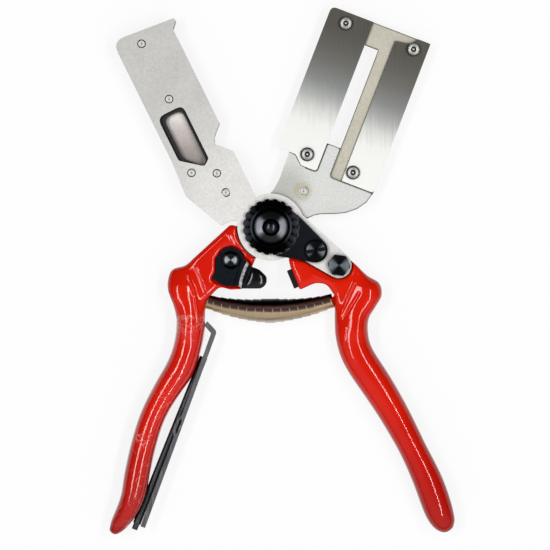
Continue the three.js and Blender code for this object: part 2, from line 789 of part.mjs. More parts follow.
// The cutting edge is ground from the back
function mainBlade() {
  const grind = new THREE.Shape();
  grind.moveTo(mainBladeLeft - OVERRUN, bladeBottom - OVERRUN);
  grind.lineTo(mainBladeLeft + BLADE_BEVEL, bladeBottom - OVERRUN);
  grind.lineTo(mainBladeLeft + BLADE_BEVEL, bladeBottom);
  grind.lineTo(mainBladeLeft, carrierTop - BLADE_DEPTH / 8);
  grind.lineTo(mainBladeLeft - OVERRUN, carrierTop - BLADE_DEPTH / 8);
  grind.closePath();
  const wedge = new THREE.ExtrudeGeometry(grind, { depth: BLADE_LENGTH + 2 * OVERRUN, bevelEnabled: false });
  wedge.rotateX(Math.PI / 2).translate(0, CARRIER_REACH + OVERRUN, 0);
  return without(slab(mainBladeShape(0), bladeBottom, carrierTop), [
    solid(wedge),
    ...screwHoles(mainScrews, SCREW_RADIUS, bladeBottom, carrierTop),
  ]);
}

function bladeScrew(place) {
  const seat = carrierTop + GAP;
  const head = seat + SCREW_HEAD_HEIGHT;
  const body = turned([
    [0, carrierBottom],
    [SCREW_RADIUS, carrierBottom],
    [SCREW_RADIUS, seat],
    [SCREW_HEAD_RADIUS, seat],
    [SCREW_HEAD_RADIUS, head - SCREW_HEAD_HEIGHT / 2],
    [SCREW_HEAD_RADIUS - SCREW_HEAD_HEIGHT / 2, head],
    [0, head],
  ], place);
  const socket = disc(SCREW_SOCKET_RADIUS, head - SCREW_SOCKET_DEPTH, head + OVERRUN, place, HEX_SIDES);
  return body.subtract(socket);
}

addPiece(carrierArm, "carrier_plate", STEEL, carrierPlate());
addPiece(carrierArm, "main_blade", BLADE_STEEL, mainBlade());
addPiece(carrierArm, "second_blade", BLADE_STEEL, without(
  slab(secondBladeShape(), bladeBottom, carrierTop),
  screwHoles(secondScrews, SCREW_RADIUS, bladeBottom, carrierTop),
));
addPiece(carrierArm, "main_blade_screw_top", DULL_STEEL, bladeScrew(mainScrews[0]));
addPiece(carrierArm, "main_blade_screw_foot", DULL_STEEL, bladeScrew(mainScrews[1]));
addPiece(carrierArm, "second_blade_screw_top", DULL_STEEL, bladeScrew(secondScrews[0]));
addPiece(carrierArm, "second_blade_screw_foot", DULL_STEEL, bladeScrew(secondScrews[1]));
addPiece(carrierArm, "carrier_pin", DULL_STEEL, disc(PIN_RADIUS, carrierBottom, carrierTop, carrierPin));

// Pivot bolt, toothed nut and the segment that locks it

function pivotBolt() {
  const end = nutTop + NUT_HUB_HEIGHT;
  const dome = [0, 1 / 3, 2 / 3].map((share) => {
    const angle = (share * Math.PI) / 2;
    const height = end - BOLT_DOME_HEIGHT * (1 - Math.sin(angle));
    return [PIVOT_THREAD_RADIUS * Math.cos(angle), height];
  });
  return turned([
    [0, 0],
    [PIVOT_HEAD_RADIUS, 0],
    [PIVOT_HEAD_RADIUS, BOLT_HEAD_DEPTH],
    [PIVOT_SHANK_RADIUS, BOLT_HEAD_DEPTH],
    [PIVOT_SHANK_RADIUS, counterTop],
    [PIVOT_THREAD_RADIUS, counterTop],
    ...dome,
    [0, end],
  ], [0, 0], LARGE_SIDES / 2);
}

// The nut's teeth stand on its flange, outside a groove and a sloping hub
function pivotNut() {
  const bore = PIVOT_THREAD_RADIUS + GAP;
  const hubTop = nutTop + NUT_HUB_HEIGHT;
  const flangeTop = nutBottom + NUT_FLANGE_DEPTH;
  const section = [
    [bore, nutBottom],
    [NUT_FLANGE_RADIUS, nutBottom],
    [NUT_FLANGE_RADIUS, flangeTop],
    [NUT_RADIUS, flangeTop],
    [NUT_RADIUS, nutTop],
    [NUT_GROOVE_RADIUS, nutTop],
    [NUT_GROOVE_RADIUS, nutTop - NUT_GROOVE_DEPTH],
    [NUT_HUB_RADIUS, nutTop - NUT_GROOVE_DEPTH],
    [NUT_HUB_RADIUS, hubTop - NUT_HUB_SLOPE],
    [bore + NUT_HUB_ROUND, hubTop],
    [bore, hubTop - NUT_HUB_ROUND],
    [bore, nutBottom],
  ];
  const foot = NUT_NOTCH_FOOT / 2;
  const mouth = NUT_NOTCH_MOUTH / 2;
  const notch = slab(outline([
    [NUT_ROOT_RADIUS, -foot],
    [NUT_RADIUS + OVERRUN, -mouth],
    [NUT_RADIUS + OVERRUN, mouth],
    [NUT_ROOT_RADIUS, foot],
  ]), flangeTop, nutTop + OVERRUN);
  const notches = Array.from({ length: NUT_TEETH }, (_, index) => (
    notch.rotate([0, 0, (index * 360) / NUT_TEETH])
  ));
  return without(turned(section, [0, 0], LARGE_SIDES), notches);
}

function lockOutline(spread) {
  return teardrop([0, 0], NUT_RADIUS - GAP + spread, lockScrewPlace, LOCK_END_RADIUS + spread);
}

function lockSegment() {
  return without(slab(lockOutline(0), nutBottom, nutTop), [
    disc(NUT_RADIUS + GAP, nutBottom - OVERRUN, nutTop + OVERRUN, [0, 0], LARGE_SIDES),
    ...screwHoles([lockScrewPlace], LOCK_SHANK_RADIUS, nutBottom, nutTop),
  ]);
}

function segmentScrew() {
  const head = nutTop + LOCK_HEAD_HEIGHT;
  const body = turned([
    [0, counterBottom],
    [LOCK_SHANK_RADIUS, counterBottom],
    [LOCK_SHANK_RADIUS, nutTop],
    [LOCK_HEAD_RADIUS, nutTop],
    [LOCK_HEAD_RADIUS, head - LOCK_HEAD_ROUND],
    [LOCK_HEAD_RADIUS - LOCK_HEAD_ROUND, head],
    [0, head],
  ], [0, 0], LARGE_SIDES / 2);
  const half = LOCK_SLOT_WIDTH / 2;
  const reach = LOCK_HEAD_RADIUS + OVERRUN;
  const slot = slab(rectangle(-reach, -half, reach, half), head - LOCK_SLOT_DEPTH, head + OVERRUN);
  return body.subtract(slot.rotate([0, 0, LOCK_SLOT_ANGLE])).translate([...lockScrewPlace, 0]);
}

// Its hex head is chamfered by a cone across its corners
function tangBolt() {
  const corner = TANG_BOLT_FLATS / 2 / Math.cos(Math.PI / HEX_SIDES);
  const top = nutBottom + TANG_BOLT_HEAD;
  const hex = disc(corner, nutBottom, top, [0, 0], HEX_SIDES).rotate([0, 0, TANG_BOLT_TURN]);
  const cone = turned([
    [0, nutBottom - OVERRUN],
    [corner + OVERRUN, nutBottom - OVERRUN],
    [corner + OVERRUN, top - TANG_BOLT_CHAMFER - OVERRUN],
    [corner - TANG_BOLT_CHAMFER, top],
    [0, top],
  ], [0, 0], LARGE_SIDES / 2);
  const shank = disc(TANG_BOLT_RADIUS, counterBottom - TANG_BOLT_REACH, nutBottom);
  return hex.intersect(cone).add(shank).translate([...tangBoltPlace, 0]);
}

addPiece(shears, "pivot_bolt", BLACK_STEEL, pivotBolt());
addPiece(shears, "pivot_nut", BLACK_STEEL, pivotNut());
addPiece(shears, "lock_segment", BLACK_STEEL, lockSegment());
addPiece(shears, "segment_screw", BLACK_STEEL, segmentScrew());
addPiece(shears, "tang_bolt", BLACK_STEEL, tangBolt());

// Handles and grips

// Oval rings along a handle, between two rows of its table, drawn in by an inset
function handleRings(shares, angle, firstRow, lastRow, inset) {
  const rows = shares.length - 1;
  const way = shares.map(([along, aside]) => (
    new THREE.Vector3(along * HANDLE_LENGTH, aside * HANDLE_LENGTH, 0)
  ));
  const girth = shares.map(([, , width, height]) => (
    new THREE.Vector3(width * HANDLE_WIDTH, height * GRIP_DEPTH, 0)
  ));
  const path = new THREE.CatmullRomCurve3(way, false, "catmullrom");
  const sizes = new THREE.CatmullRomCurve3(girth, false, "catmullrom");
  const count = (lastRow - firstRow) * RINGS_PER_ROW;
  return Array.from({ length: count + 1 }, (_, index) => {
    const place = (firstRow + index / RINGS_PER_ROW) / rows;
    const middle = path.getPoint(place);
    const ahead = path.getTangent(place);
    const size = sizes.getPoint(place);
    const aside = new THREE.Vector3(-ahead.y, ahead.x, 0);
    return Array.from({ length: GRIP_SIDES }, (__, side) => {
      const turn = (2 * Math.PI * side) / GRIP_SIDES;
      const x = Math.sign(Math.cos(turn)) * Math.abs(Math.cos(turn)) ** GRIP_SQUARENESS_SHARE;
      const z = Math.sign(Math.sin(turn)) * Math.abs(Math.sin(turn)) ** GRIP_SQUARENESS_SHARE;
      const point = middle.clone().addScaledVector(aside, x * (size.x - inset));
      point.z = gripMiddle + z * (size.y - inset);
      return point.applyAxisAngle(new THREE.Vector3(0, 0, 1), THREE.MathUtils.degToRad(angle));
    });
  });
}

function handleBody(shares, angle, firstRow, lastRow, inset) {
  return solid(skin(handleRings(shares, angle, firstRow, lastRow, inset)));
}

// The forged part: a cheek, a round shank and a slimmer core for the grip
function forging(cheekShares, shares, angle) {
  const lastRow = shares.length - 1 - CORE_ROWS_LEFT_OFF;
  return joined([
    softSlab(scaled(cheekShares, HANDLE_LENGTH), earBottom, cheekTop, HANDLE_EDGE),
    handleBody(shares, angle, 0, GRIP_FIRST_ROW, GRIP_STEP),
    handleBody(shares, angle, 1, lastRow, GRIP_WALL + GAP),
  ]);
}

function grip(shares, angle) {
  const rows = shares.length - 1;
  const start = GRIP_FIRST_ROW + GAP / HANDLE_WIDTH;
  const outer = handleBody(shares, angle, GRIP_FIRST_ROW, rows, 0);
  const bore = handleBody(shares, angle, GRIP_FIRST_ROW - 1, rows - CORE_ROWS_LEFT_OFF + 1, GRIP_WALL);
  const shoulder = handleBody(shares, angle, 0, start, -OVERRUN);
  return without(outer, [bore, shoulder]);
}

// Spring seats: a flat face across the spring's end, and a nub that enters it

const leftSeat = new THREE.Vector3(...LEFT_SEAT_SHARE, 0).multiplyScalar(HANDLE_LENGTH).setZ(gripMiddle);
const rightSeat = new THREE.Vector3(...RIGHT_SEAT_SHARE, 0).multiplyScalar(HANDLE_LENGTH).setZ(gripMiddle);
const springChord = rightSeat.clone().sub(leftSeat);
const springBow = (springChord.lengthSq() / 4 + SPRING_SAG ** 2) / 2 / SPRING_SAG;
const springTurn = 2 * Math.asin(springChord.length() / 2 / springBow);

// Place, direction and the way across at a share of the spring's bowed axis
function springAxis(share) {
  const heading = Math.atan2(springChord.y, springChord.x);
  const angle = (share - 1 / 2) * springTurn;
  const middle = leftSeat.clone().add(rightSeat).divideScalar(2);
  const lift = springBow - SPRING_SAG;
  const point = new THREE.Vector3(springBow * Math.sin(angle), lift - springBow * Math.cos(angle), 0);
  const ahead = new THREE.Vector3(Math.cos(angle), Math.sin(angle), 0);
  const up = new THREE.Vector3(0, 0, 1);
  point.applyAxisAngle(up, heading).add(middle);
  ahead.applyAxisAngle(up, heading);
  return { point, ahead, across: new THREE.Vector3().crossVectors(up, ahead) };
}

function seated(body, share, sign) {
  const { point, ahead } = springAxis(share);
  const inward = ahead.clone().multiplyScalar(sign);
  const clear = SPRING_END_RADIUS + SPRING_STRIP_DEPTH + GAP;
  const face = rod(point, point.clone().addScaledVector(inward, HANDLE_WIDTH), clear, SMALL_SIDES);
  const root = point.clone().addScaledVector(inward, -NUB_ROOT);
  const tip = point.clone().addScaledVector(inward, NUB_LENGTH);
  return body.subtract(face).add(rod(root, tip, NUB_RADIUS, SMALL_SIDES));
}

// Catch parts, in the shears' frame

function catchOutline(shares, spread = 0) {
  const wide = (CATCH_LENGTH + spread) / CATCH_LENGTH;
  return outline(scaled(shares, CATCH_LENGTH * wide));
}

function catchRecess() {
  const shape = catchOutline(CATCH_PLATE_SHARES, 2 * GAP);
  const band = catchOutline(CATCH_BAND_SHARES, 2 * GAP);
  const steps = Array.from({ length: CATCH_SWING_STEPS + 1 }, (_, index) => {
    const turn = (index * CATCH_SWING) / CATCH_SWING_STEPS;
    const both = slab(shape, catchFloor, cheekTop + OVERRUN).add(slab(band, catchFloor, cheekTop + OVERRUN));
    return both.rotate([0, 0, turn]);
  });
  const round = disc(CATCH_TOP_RADIUS + GAP, catchFloor, cheekTop + OVERRUN, [0, 0], LARGE_SIDES);
  return joined([round, ...steps]).translate([...catchScrew, 0]);
}

function catchLever() {
  const bottom = catchFloor + GAP;
  const tongueBottom = tongueTop - CATCH_TONGUE_DEPTH;
  const body = joined([
    disc(CATCH_TOP_RADIUS, bottom, cheekTop, [0, 0], LARGE_SIDES),
    slab(catchOutline(CATCH_PLATE_SHARES), bottom, cheekTop),
    slab(catchOutline(CATCH_BAND_SHARES), bottom, tongueTop),
    slab(catchOutline(TONGUE_SHARES), tongueBottom, tongueTop),
  ]);
  const hole = disc(CATCH_SCREW_RADIUS + GAP, bottom - OVERRUN, tongueTop + OVERRUN);
  return body.subtract(hole).translate([...catchScrew, 0]);
}

function catchThumb() {
  const bottom = tongueTop;
  const corners = scaled(THUMB_SHARES, CATCH_LENGTH);
  const block = softSlab(corners, bottom - THUMB_EDGE, bottom + THUMB_HEIGHT, THUMB_EDGE);
  const span = 2 * CATCH_LENGTH;
  const below = slab(rectangle(-span, -span, span, span), bottom - 2 * THUMB_EDGE, bottom);
  return block.subtract(below).translate([...catchScrew, 0]);
}

function catchScrewBody() {
  const seat = cheekTop + GAP;
  const head = seat + CATCH_HEAD_HEIGHT;
  return turned([
    [0, earTop],
    [CATCH_SCREW_RADIUS, earTop],
    [CATCH_SCREW_RADIUS, seat],
    [CATCH_HEAD_RADIUS, seat],
    [CATCH_HEAD_RADIUS, head - GAP],
    [CATCH_HEAD_RADIUS - GAP, head],
    [0, head],
  ], catchScrew, LARGE_SIDES / 2);
}

// The left handle has the ear behind the pivot, the slot for the carrier's tail and the catch's recess

function leftHandle() {
  const cheek = forging(LEFT_CHEEK_SHARES, LEFT_GRIP_SHARES, LEFT_HANDLE_ANGLE);
  const rim = disc(rimRadius, earBottom - OVERRUN, cheekTop + OVERRUN, [0, 0], LARGE_SIDES);
  const web = slab(outline(scaled(LEFT_CHEEK_SHARES.slice(0, 4), HANDLE_LENGTH)), earBottom, earTop);
  const body = joined([
    cheek.subtract(rim),
    disc(HUB_RADIUS, earBottom, earTop, [0, 0], LARGE_SIDES),
    web,
  ]);
  const cut = without(body, [
    ...screwHoles([[0, 0]], PIVOT_SHANK_RADIUS, earBottom, earTop),
    tailSolid(GAP, earTop, counterBottom),
    disc(HUB_RADIUS + GAP, earTop, counterBottom, [0, 0], LARGE_SIDES),
    catchRecess(),
    disc(CATCH_SCREW_RADIUS + GAP, earTop - GAP, cheekTop + OVERRUN, catchScrew),
  ]);
  return seated(cut, 0, 1);
}

// The right handle carries the tang in a recess, on a floor under it

function rightHandle() {
  const cheek = forging(RIGHT_CHEEK_SHARES, RIGHT_GRIP_SHARES, RIGHT_HANDLE_ANGLE);
  const body = without(cheek, [
    disc(rimRadius, 0, GRIP_DEPTH, [0, 0], LARGE_SIDES),
    tangSolid(RIM_GAP, carrierTop, GRIP_DEPTH + OVERRUN, TANG_ANGLE),
    slab(lockOutline(RIM_GAP), counterTop, GRIP_DEPTH + OVERRUN),
    disc(TANG_BOLT_RADIUS + GAP, counterBottom - TANG_BOLT_REACH - GAP, counterTop, tangBoltPlace),
  ]);
  return seated(body, 1, -1);
}

function bufferPad() {
  const half = PAD_LENGTH / 2;
  const shape = rectangle(-half, -PAD_DEPTH, half, 0);
  const pad = slab(shape, earBottom + PAD_MARGIN, cheekTop - PAD_MARGIN);
  const place = PAD_SHARE.map((share) => share * HANDLE_LENGTH);
  return pad.rotate([0, 0, PAD_ANGLE]).translate([...place, 0]);
}

addPiece(shears, "left_handle", DARK_RED, leftHandle());
addPiece(shears, "left_grip", RED, grip(LEFT_GRIP_SHARES, LEFT_HANDLE_ANGLE));
addPiece(shears, "right_handle", DARK_RED, rightHandle());
addPiece(shears, "right_grip", RED, grip(RIGHT_GRIP_SHARES, RIGHT_HANDLE_ANGLE));
addPiece(shears, "catch_lever", BLACK_STEEL, catchLever());
addPiece(shears, "catch_thumb", BLACK_PLASTIC, catchThumb());
addPiece(shears, "catch_screw", DULL_STEEL, catchScrewBody());
addPiece(shears, "buffer_pad", RUBBER, bufferPad());

// Volute spring: one flat strip wound into a bowed barrel, whose ends run straight to the seats

function springPath() {
  const length = springBow * springTurn;
  const tail = (GAP + SPRING_STRIP_WIDTH + SPRING_END_BEND) / length;
  const steps = SPRING_TURNS * SPRING_STEPS;
  const wound = Array.from({ length: steps + 1 }, (_, index) => ({
    share: tail + ((1 - 2 * tail) * index) / steps,
    turn: (2 * Math.PI * index) / SPRING_STEPS,
  }));
  const bend = [Math.PI / 4, Math.PI / 2].map((angle) => ({
    share: (SPRING_END_BEND * (1 - Math.cos(angle))) / length,
    turn: (SPRING_END_BEND * Math.sin(angle)) / SPRING_END_RADIUS,
  }));
  const run = { share: bend[1].share + SPRING_STRIP_WIDTH / length, turn: bend[1].turn };
  const ends = [...bend, run];
  const last = wound[steps];
  return [
    ...ends.map(({ share, turn }) => ({ share: tail - share, turn: -turn })).reverse(),
    ...wound,
    ...ends.map(({ share, turn }) => ({ share: last.share + share, turn: last.turn + turn })),
  ];
}

function springPoint({ share, turn }) {
  const swell = SPRING_MIDDLE_RADIUS - SPRING_END_RADIUS;
  const radius = SPRING_END_RADIUS + swell * Math.sin(Math.PI * THREE.MathUtils.clamp(share, 0, 1));
  const { point, across } = springAxis(share);
  const out = across.clone().multiplyScalar(Math.cos(turn));
  out.z = Math.sin(turn);
  return { middle: point.clone().addScaledVector(out, radius), out };
}

function voluteSpring() {
  const places = springPath().map(springPoint);
  const rings = places.map(({ middle, out }, index) => {
    const before = places[Math.max(index - 1, 0)].middle;
    const after = places[Math.min(index + 1, places.length - 1)].middle;
    const ahead = after.clone().sub(before).normalize();
    const along = new THREE.Vector3().crossVectors(ahead, out).normalize();
    const outward = new THREE.Vector3().crossVectors(along, ahead);
    const corners = [[1, 1], [1, -1], [-1, -1], [-1, 1]];
    return corners.map(([wide, deep]) => middle.clone()
      .addScaledVector(along, (wide * SPRING_STRIP_WIDTH) / 2)
      .addScaledVector(outward, (deep * SPRING_STRIP_DEPTH) / 2));
  });
  return rings;
}

// The least distance between facing edges of neighbouring turns
function leastSpringGap(rings) {
  let least = Infinity;
  rings.forEach((ring, index) => {
    const next = rings[index + SPRING_STEPS];
    if (!next) return;
    ring.forEach((corner) => next.forEach((other) => {
      least = Math.min(least, corner.distanceTo(other));
    }));
  });
  return least;
}

const springRings = voluteSpring();
console.log(`volute_spring least gap to itself: ${leastSpringGap(springRings).toFixed(2)} mm`);
addPiece(shears, "volute_spring", SPRING_STEEL, skin(springRings));

// Service keys: a straight rod with a slim tip, and a bent one with an eye that rests on it. Each
// lies along the left grip, a gap away from where the grip bulges most towards it.

function besideGrip(degrees, shares, distance) {
  const ahead = new THREE.Vector3(...turnedPlace([1, 0], degrees), 0);
  const across = new THREE.Vector3(ahead.y, -ahead.x, 0);
  const [foot, head] = shares.map((share) => share * HANDLE_LENGTH);
  const lastRow = LEFT_GRIP_SHARES.length - 1;
  const skinPoints = handleRings(LEFT_GRIP_SHARES, LEFT_HANDLE_ANGLE, GRIP_FIRST_ROW, lastRow, 0).flat();
  const beside = skinPoints.filter((point) => point.dot(ahead) > foot && point.dot(ahead) < head);
  const bulge = Math.max(...beside.map((point) => point.dot(across)));
  const line = across.multiplyScalar(bulge + distance);
  return [foot, head].map((along) => line.clone().addScaledVector(ahead, along));
}

function bentKey() {
  const bottom = gripMiddle;
  const top = bottom + KEY_WIDTH;
  const half = KEY_WIDTH / 2;
  const [foot, bend] = besideGrip(KEY_ANGLE, KEY_SHARES, KEY_GAP + half);
  const reach = bend.distanceTo(foot);
  const eye = KEY_EYE_SHARE * reach;
  const bar = slab(rectangle(0, -half, reach, half), bottom, top);
  const swell = slab(lens(eye, KEY_SWELL_OFFSET, KEY_SWELL_LENGTH, KEY_SWELL_WIDTH), bottom, top);
  const opening = lens(eye, KEY_EYE_OFFSET, KEY_EYE_LENGTH, KEY_EYE_WIDTH);
  const hole = slab(opening, bottom - OVERRUN, top + OVERRUN);
  const toe = slab(rectangle(0, -half, KEY_TOE_LENGTH, half), bottom, top).rotate([0, 0, KEY_TOE_TURN]);
  const body = joined([
    bar.add(swell).subtract(hole),
    toe.translate([reach, 0, 0]),
    disc(half, bottom, top, [reach, 0]),
  ]);
  return body.rotate([0, 0, KEY_ANGLE]).translate([foot.x, foot.y, 0]);
}

function straightKey() {
  const level = gripMiddle - GAP - ROD_RADIUS;
  const places = besideGrip(ROD_ANGLE, ROD_SHARES, ROD_GAP + ROD_RADIUS);
  const [foot, head] = places.map((place) => place.setZ(level));
  const back = foot.clone().sub(head).normalize();
  const tip = foot.clone().addScaledVector(back, ROD_TIP_LENGTH);
  const inside = foot.clone().addScaledVector(back, -ROD_TIP_LENGTH);
  return rod(foot, head, ROD_RADIUS).add(rod(inside, tip, ROD_TIP_RADIUS));
}

addPiece(shears, "bent_key", DULL_STEEL, bentKey());
addPiece(shears, "straight_key", BLACK_STEEL, straightKey());

export default shears;
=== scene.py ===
import math

import bmesh
import bpy
from mathutils import Matrix, Vector


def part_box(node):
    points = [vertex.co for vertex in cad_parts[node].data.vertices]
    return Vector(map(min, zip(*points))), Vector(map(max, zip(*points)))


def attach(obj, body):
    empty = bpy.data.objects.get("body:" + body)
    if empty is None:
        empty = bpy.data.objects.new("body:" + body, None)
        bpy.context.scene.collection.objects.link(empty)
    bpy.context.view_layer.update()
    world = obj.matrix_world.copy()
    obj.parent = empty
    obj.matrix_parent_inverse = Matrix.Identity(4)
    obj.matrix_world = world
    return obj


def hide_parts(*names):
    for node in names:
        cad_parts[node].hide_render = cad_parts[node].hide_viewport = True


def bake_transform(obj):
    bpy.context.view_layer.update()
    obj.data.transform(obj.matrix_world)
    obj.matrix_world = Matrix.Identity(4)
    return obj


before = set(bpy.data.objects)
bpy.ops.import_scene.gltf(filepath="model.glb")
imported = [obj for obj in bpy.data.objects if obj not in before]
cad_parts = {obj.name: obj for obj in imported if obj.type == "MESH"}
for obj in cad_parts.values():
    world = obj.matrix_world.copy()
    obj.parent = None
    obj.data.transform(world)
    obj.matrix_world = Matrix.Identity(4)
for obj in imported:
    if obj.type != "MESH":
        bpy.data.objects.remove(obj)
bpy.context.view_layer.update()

# Table and studio
# The shears lie on a white sheet, and only the light that reaches their sides sees it
# as grey card. Two long softboxes stand left and right of the camera, and between them
# the ceiling is dim, dimmest towards the blades.
MM = 0.001
TABLE_HEX = "#FFFFFF"
CARD_HEX = "#464646"
TABLE_SIZE = 6.0
TABLE_OWN_LIGHT = 0.84
PHOTO_WIDTH = 550
MM_PER_PIXEL = 0.414
PIVOT_PIXEL = (271.0, 227.2)
CAMERA_HEIGHT = 1.1
FOCUS_LEVEL = 8 * MM
TABLE_DROP = 0.1 * MM
MULTIPLIED = {"data_type": "RGBA", "blend_type": "MULTIPLY"}


def linear(hex_colour):
    channels = [int(hex_colour[i:i + 2], 16) / 255 for i in (1, 3, 5)]
    values = [c / 12.92 if c <= 0.04045 else ((c + 0.055) / 1.055) ** 2.4 for c in channels]
    return (*values, 1.0)


def new_material(name):
    """A material with its tree and its Principled node."""
    material = bpy.data.materials.new(name)
    material.use_nodes = True
    return material, material.node_tree, material.node_tree.nodes["Principled BSDF"]


def add_node(tree, kind, settings=None, stops=None, **links):
    """Adds a node, sets its properties and a ramp's stops, and fills its sockets."""
    node = tree.nodes.new(kind)
    for name, value in (settings or {}).items():
        setattr(node, name, value)
    for index, (position, colour) in enumerate(stops or []):
        elements = node.color_ramp.elements
        element = elements[index] if index < len(elements) else elements.new(position)
        element.position = position
        element.color = linear(colour) if isinstance(colour, str) else (colour, colour, colour, 1)
    for name, value in links.items():
        key = int(name[2:]) if name[2:].isdigit() else name.replace("_", " ")
        socket = node.inputs[key]
        if isinstance(value, bpy.types.NodeSocket):
            tree.links.new(value, socket)
        else:
            socket.default_value = value
    return node


scene = bpy.context.scene
scene.view_settings.view_transform = "Standard"

table_mesh = bmesh.new()
bmesh.ops.create_grid(table_mesh, x_segments=1, y_segments=1, size=TABLE_SIZE / 2)
table_data = bpy.data.meshes.new("table_top")
table_mesh.to_mesh(table_data)
table_mesh.free()
table_top = bpy.data.objects.new("table_top", table_data)
scene.collection.objects.link(table_top)
table_top.location.z = -TABLE_DROP

# The sheet glows white to the camera, to gloss and through clear film, and keeps a
# share of plain paper that takes the shadow.
white_sheet, tree, principled = new_material("white_paper_sheet")
principled.inputs["Base Color"].default_value = linear(CARD_HEX)
principled.inputs["Roughness"].default_value = 0.9
principled.inputs["Specular IOR Level"].default_value = 0.1
rays = add_node(tree, "ShaderNodeLightPath")
seen = add_node(
    tree, "ShaderNodeMath", {"operation": "MAXIMUM"},
    in0=rays.outputs["Is Camera Ray"], in1=rays.outputs["Is Glossy Ray"])
seen = add_node(
    tree, "ShaderNodeMath", {"operation": "MAXIMUM"},
    in0=seen.outputs[0], in1=rays.outputs["Is Transmission Ray"])
glow = add_node(tree, "ShaderNodeEmission", Color=linear(TABLE_HEX), Strength=1.0)
paper = add_node(tree, "ShaderNodeBsdfDiffuse", Color=linear(TABLE_HEX))
sheet = add_node(
    tree, "ShaderNodeMixShader",
    Fac=TABLE_OWN_LIGHT, in1=paper.outputs[0], in2=glow.outputs[0])
both = add_node(
    tree, "ShaderNodeMixShader",
    Fac=seen.outputs[0], in1=principled.outputs[0], in2=sheet.outputs[0])
tree.links.new(both.outputs[0], tree.nodes["Material Output"].inputs["Surface"])
table_data.materials.append(white_sheet)

world = bpy.data.worlds.new("studio_ceiling")
world.use_nodes = True
scene.world = world
sky = world.node_tree
background = sky.nodes["Background"]
heading = add_node(
    sky, "ShaderNodeSeparateXYZ",
    Vector=add_node(sky, "ShaderNodeTexCoord").outputs["Generated"])
across_sky = add_node(
    sky, "ShaderNodeMath", {"operation": "MULTIPLY_ADD"},
    in0=heading.outputs["Y"], in1=0.5, in2=0.5)
ceiling = add_node(
    sky, "ShaderNodeValToRGB", Fac=across_sky.outputs[0],
    stops=[(0.0, 0.9), (0.38, 0.6), (0.48, 0.2), (0.58, 0.12), (0.75, 0.08), (1.0, 0.06)])
walls = add_node(
    sky, "ShaderNodeValToRGB", Fac=heading.outputs["Z"], stops=[(0.0, 0.12), (0.45, 1.0)])
room = add_node(
    sky, "ShaderNodeMix", MULTIPLIED,
    in0=1.0, in6=ceiling.outputs[0], in7=walls.outputs[0])
sky.links.new(room.outputs[2], background.inputs["Color"])
background.inputs["Strength"].default_value = 1.0


def area_lamp(name, place, length, width, power):
    """A softbox that faces the shears, with its long side along them."""
    light = bpy.data.lights.new(name, "AREA")
    light.shape = "RECTANGLE"
    light.size, light.size_y = length, width
    light.energy = power
    lamp = bpy.data.objects.new(name, light)
    lamp.location = place
    lamp.rotation_euler = (-Vector(place)).to_track_quat("-Z", "Y").to_euler()
    scene.collection.objects.link(lamp)


area_lamp("left_softbox", place=(-0.42, 0.05, 0.95), length=0.6, width=0.12, power=3.5)
area_lamp("right_softbox", place=(0.4, -0.05, 0.94), length=0.85, width=0.05, power=4.2)

camera_data = bpy.data.cameras.new("photo_camera")
camera = bpy.data.objects.new("photo_camera", camera_data)
scene.collection.objects.link(camera)
scene.camera = camera
centre = PHOTO_WIDTH / 2
camera.location = (
    (centre - PIVOT_PIXEL[0]) * MM_PER_PIXEL * MM,
    (PIVOT_PIXEL[1] - centre) * MM_PER_PIXEL * MM,
    CAMERA_HEIGHT)
view_width = PHOTO_WIDTH * MM_PER_PIXEL * MM
camera_data.sensor_fit = "HORIZONTAL"
camera_data.angle = 2 * math.atan(view_width / 2 / (CAMERA_HEIGHT - FOCUS_LEVEL))
camera_data.clip_end = 20

# Plates
# The counter plate is 2.5 mm stainless sheet, cut out and tumbled to a fine satin, with
# its edges just broken. It covers the dark spacer and the bright back plate, which hold
# the blades' path open, and the carrier is the same satin sheet, 3 mm thick.
EDGE_BREAK = 0.22 * MM
EDGE_SEGMENTS = 2
SHARP_ANGLE = math.radians(28)
FLAT_ANGLE = math.radians(0.6)
MERGE_DISTANCE = 0.002 * MM


def finish_mesh(mesh, name, sharp_angle=35):
    """Writes a bmesh to a new object with smooth shading between its sharp edges."""
    mesh.normal_update()
    for face in mesh.faces:
        face.smooth = True
    for edge in mesh.edges:
        closed = len(edge.link_faces) == 2
        edge.smooth = closed and edge.calc_face_angle() < math.radians(sharp_angle)
    data = bpy.data.meshes.new(name)
    mesh.to_mesh(data)
    mesh.free()
    made = bpy.data.objects.new(name, data)
    scene.collection.objects.link(made)
    return made


def node_copy(name, edge):
    """A copy of a construction node, merged, with flats rejoined and sharp edges broken."""
    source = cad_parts[name]
    mesh = bmesh.new()
    mesh.from_mesh(source.data)
    bmesh.ops.remove_doubles(mesh, verts=mesh.verts, dist=MERGE_DISTANCE)
    bmesh.ops.dissolve_limit(mesh, angle_limit=FLAT_ANGLE, verts=mesh.verts, edges=mesh.edges)
    mesh.normal_update()
    joined = [e for e in mesh.edges if len(e.link_faces) == 2]
    bmesh.ops.bevel(
        mesh, geom=[e for e in joined if e.calc_face_angle() > SHARP_ANGLE],
        offset=edge, offset_type="OFFSET", affect="EDGES", segments=EDGE_SEGMENTS,
        profile=0.5, material=-1, clamp_overlap=True, loop_slide=True)
    made = finish_mesh(mesh, name + "_finished")
    flats = made.modifiers.new("flats", "WEIGHTED_NORMAL")
    flats.keep_sharp = True
    flats.weight = 100
    return made


def dress(made, body, material, slot, *nodes):
    """Gives a piece its material and its body and hides the nodes that it stands for; slot is not
    used.
    """
    made.data.materials.clear()
    made.data.materials.append(material)
    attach(made, body)
    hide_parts(*nodes)
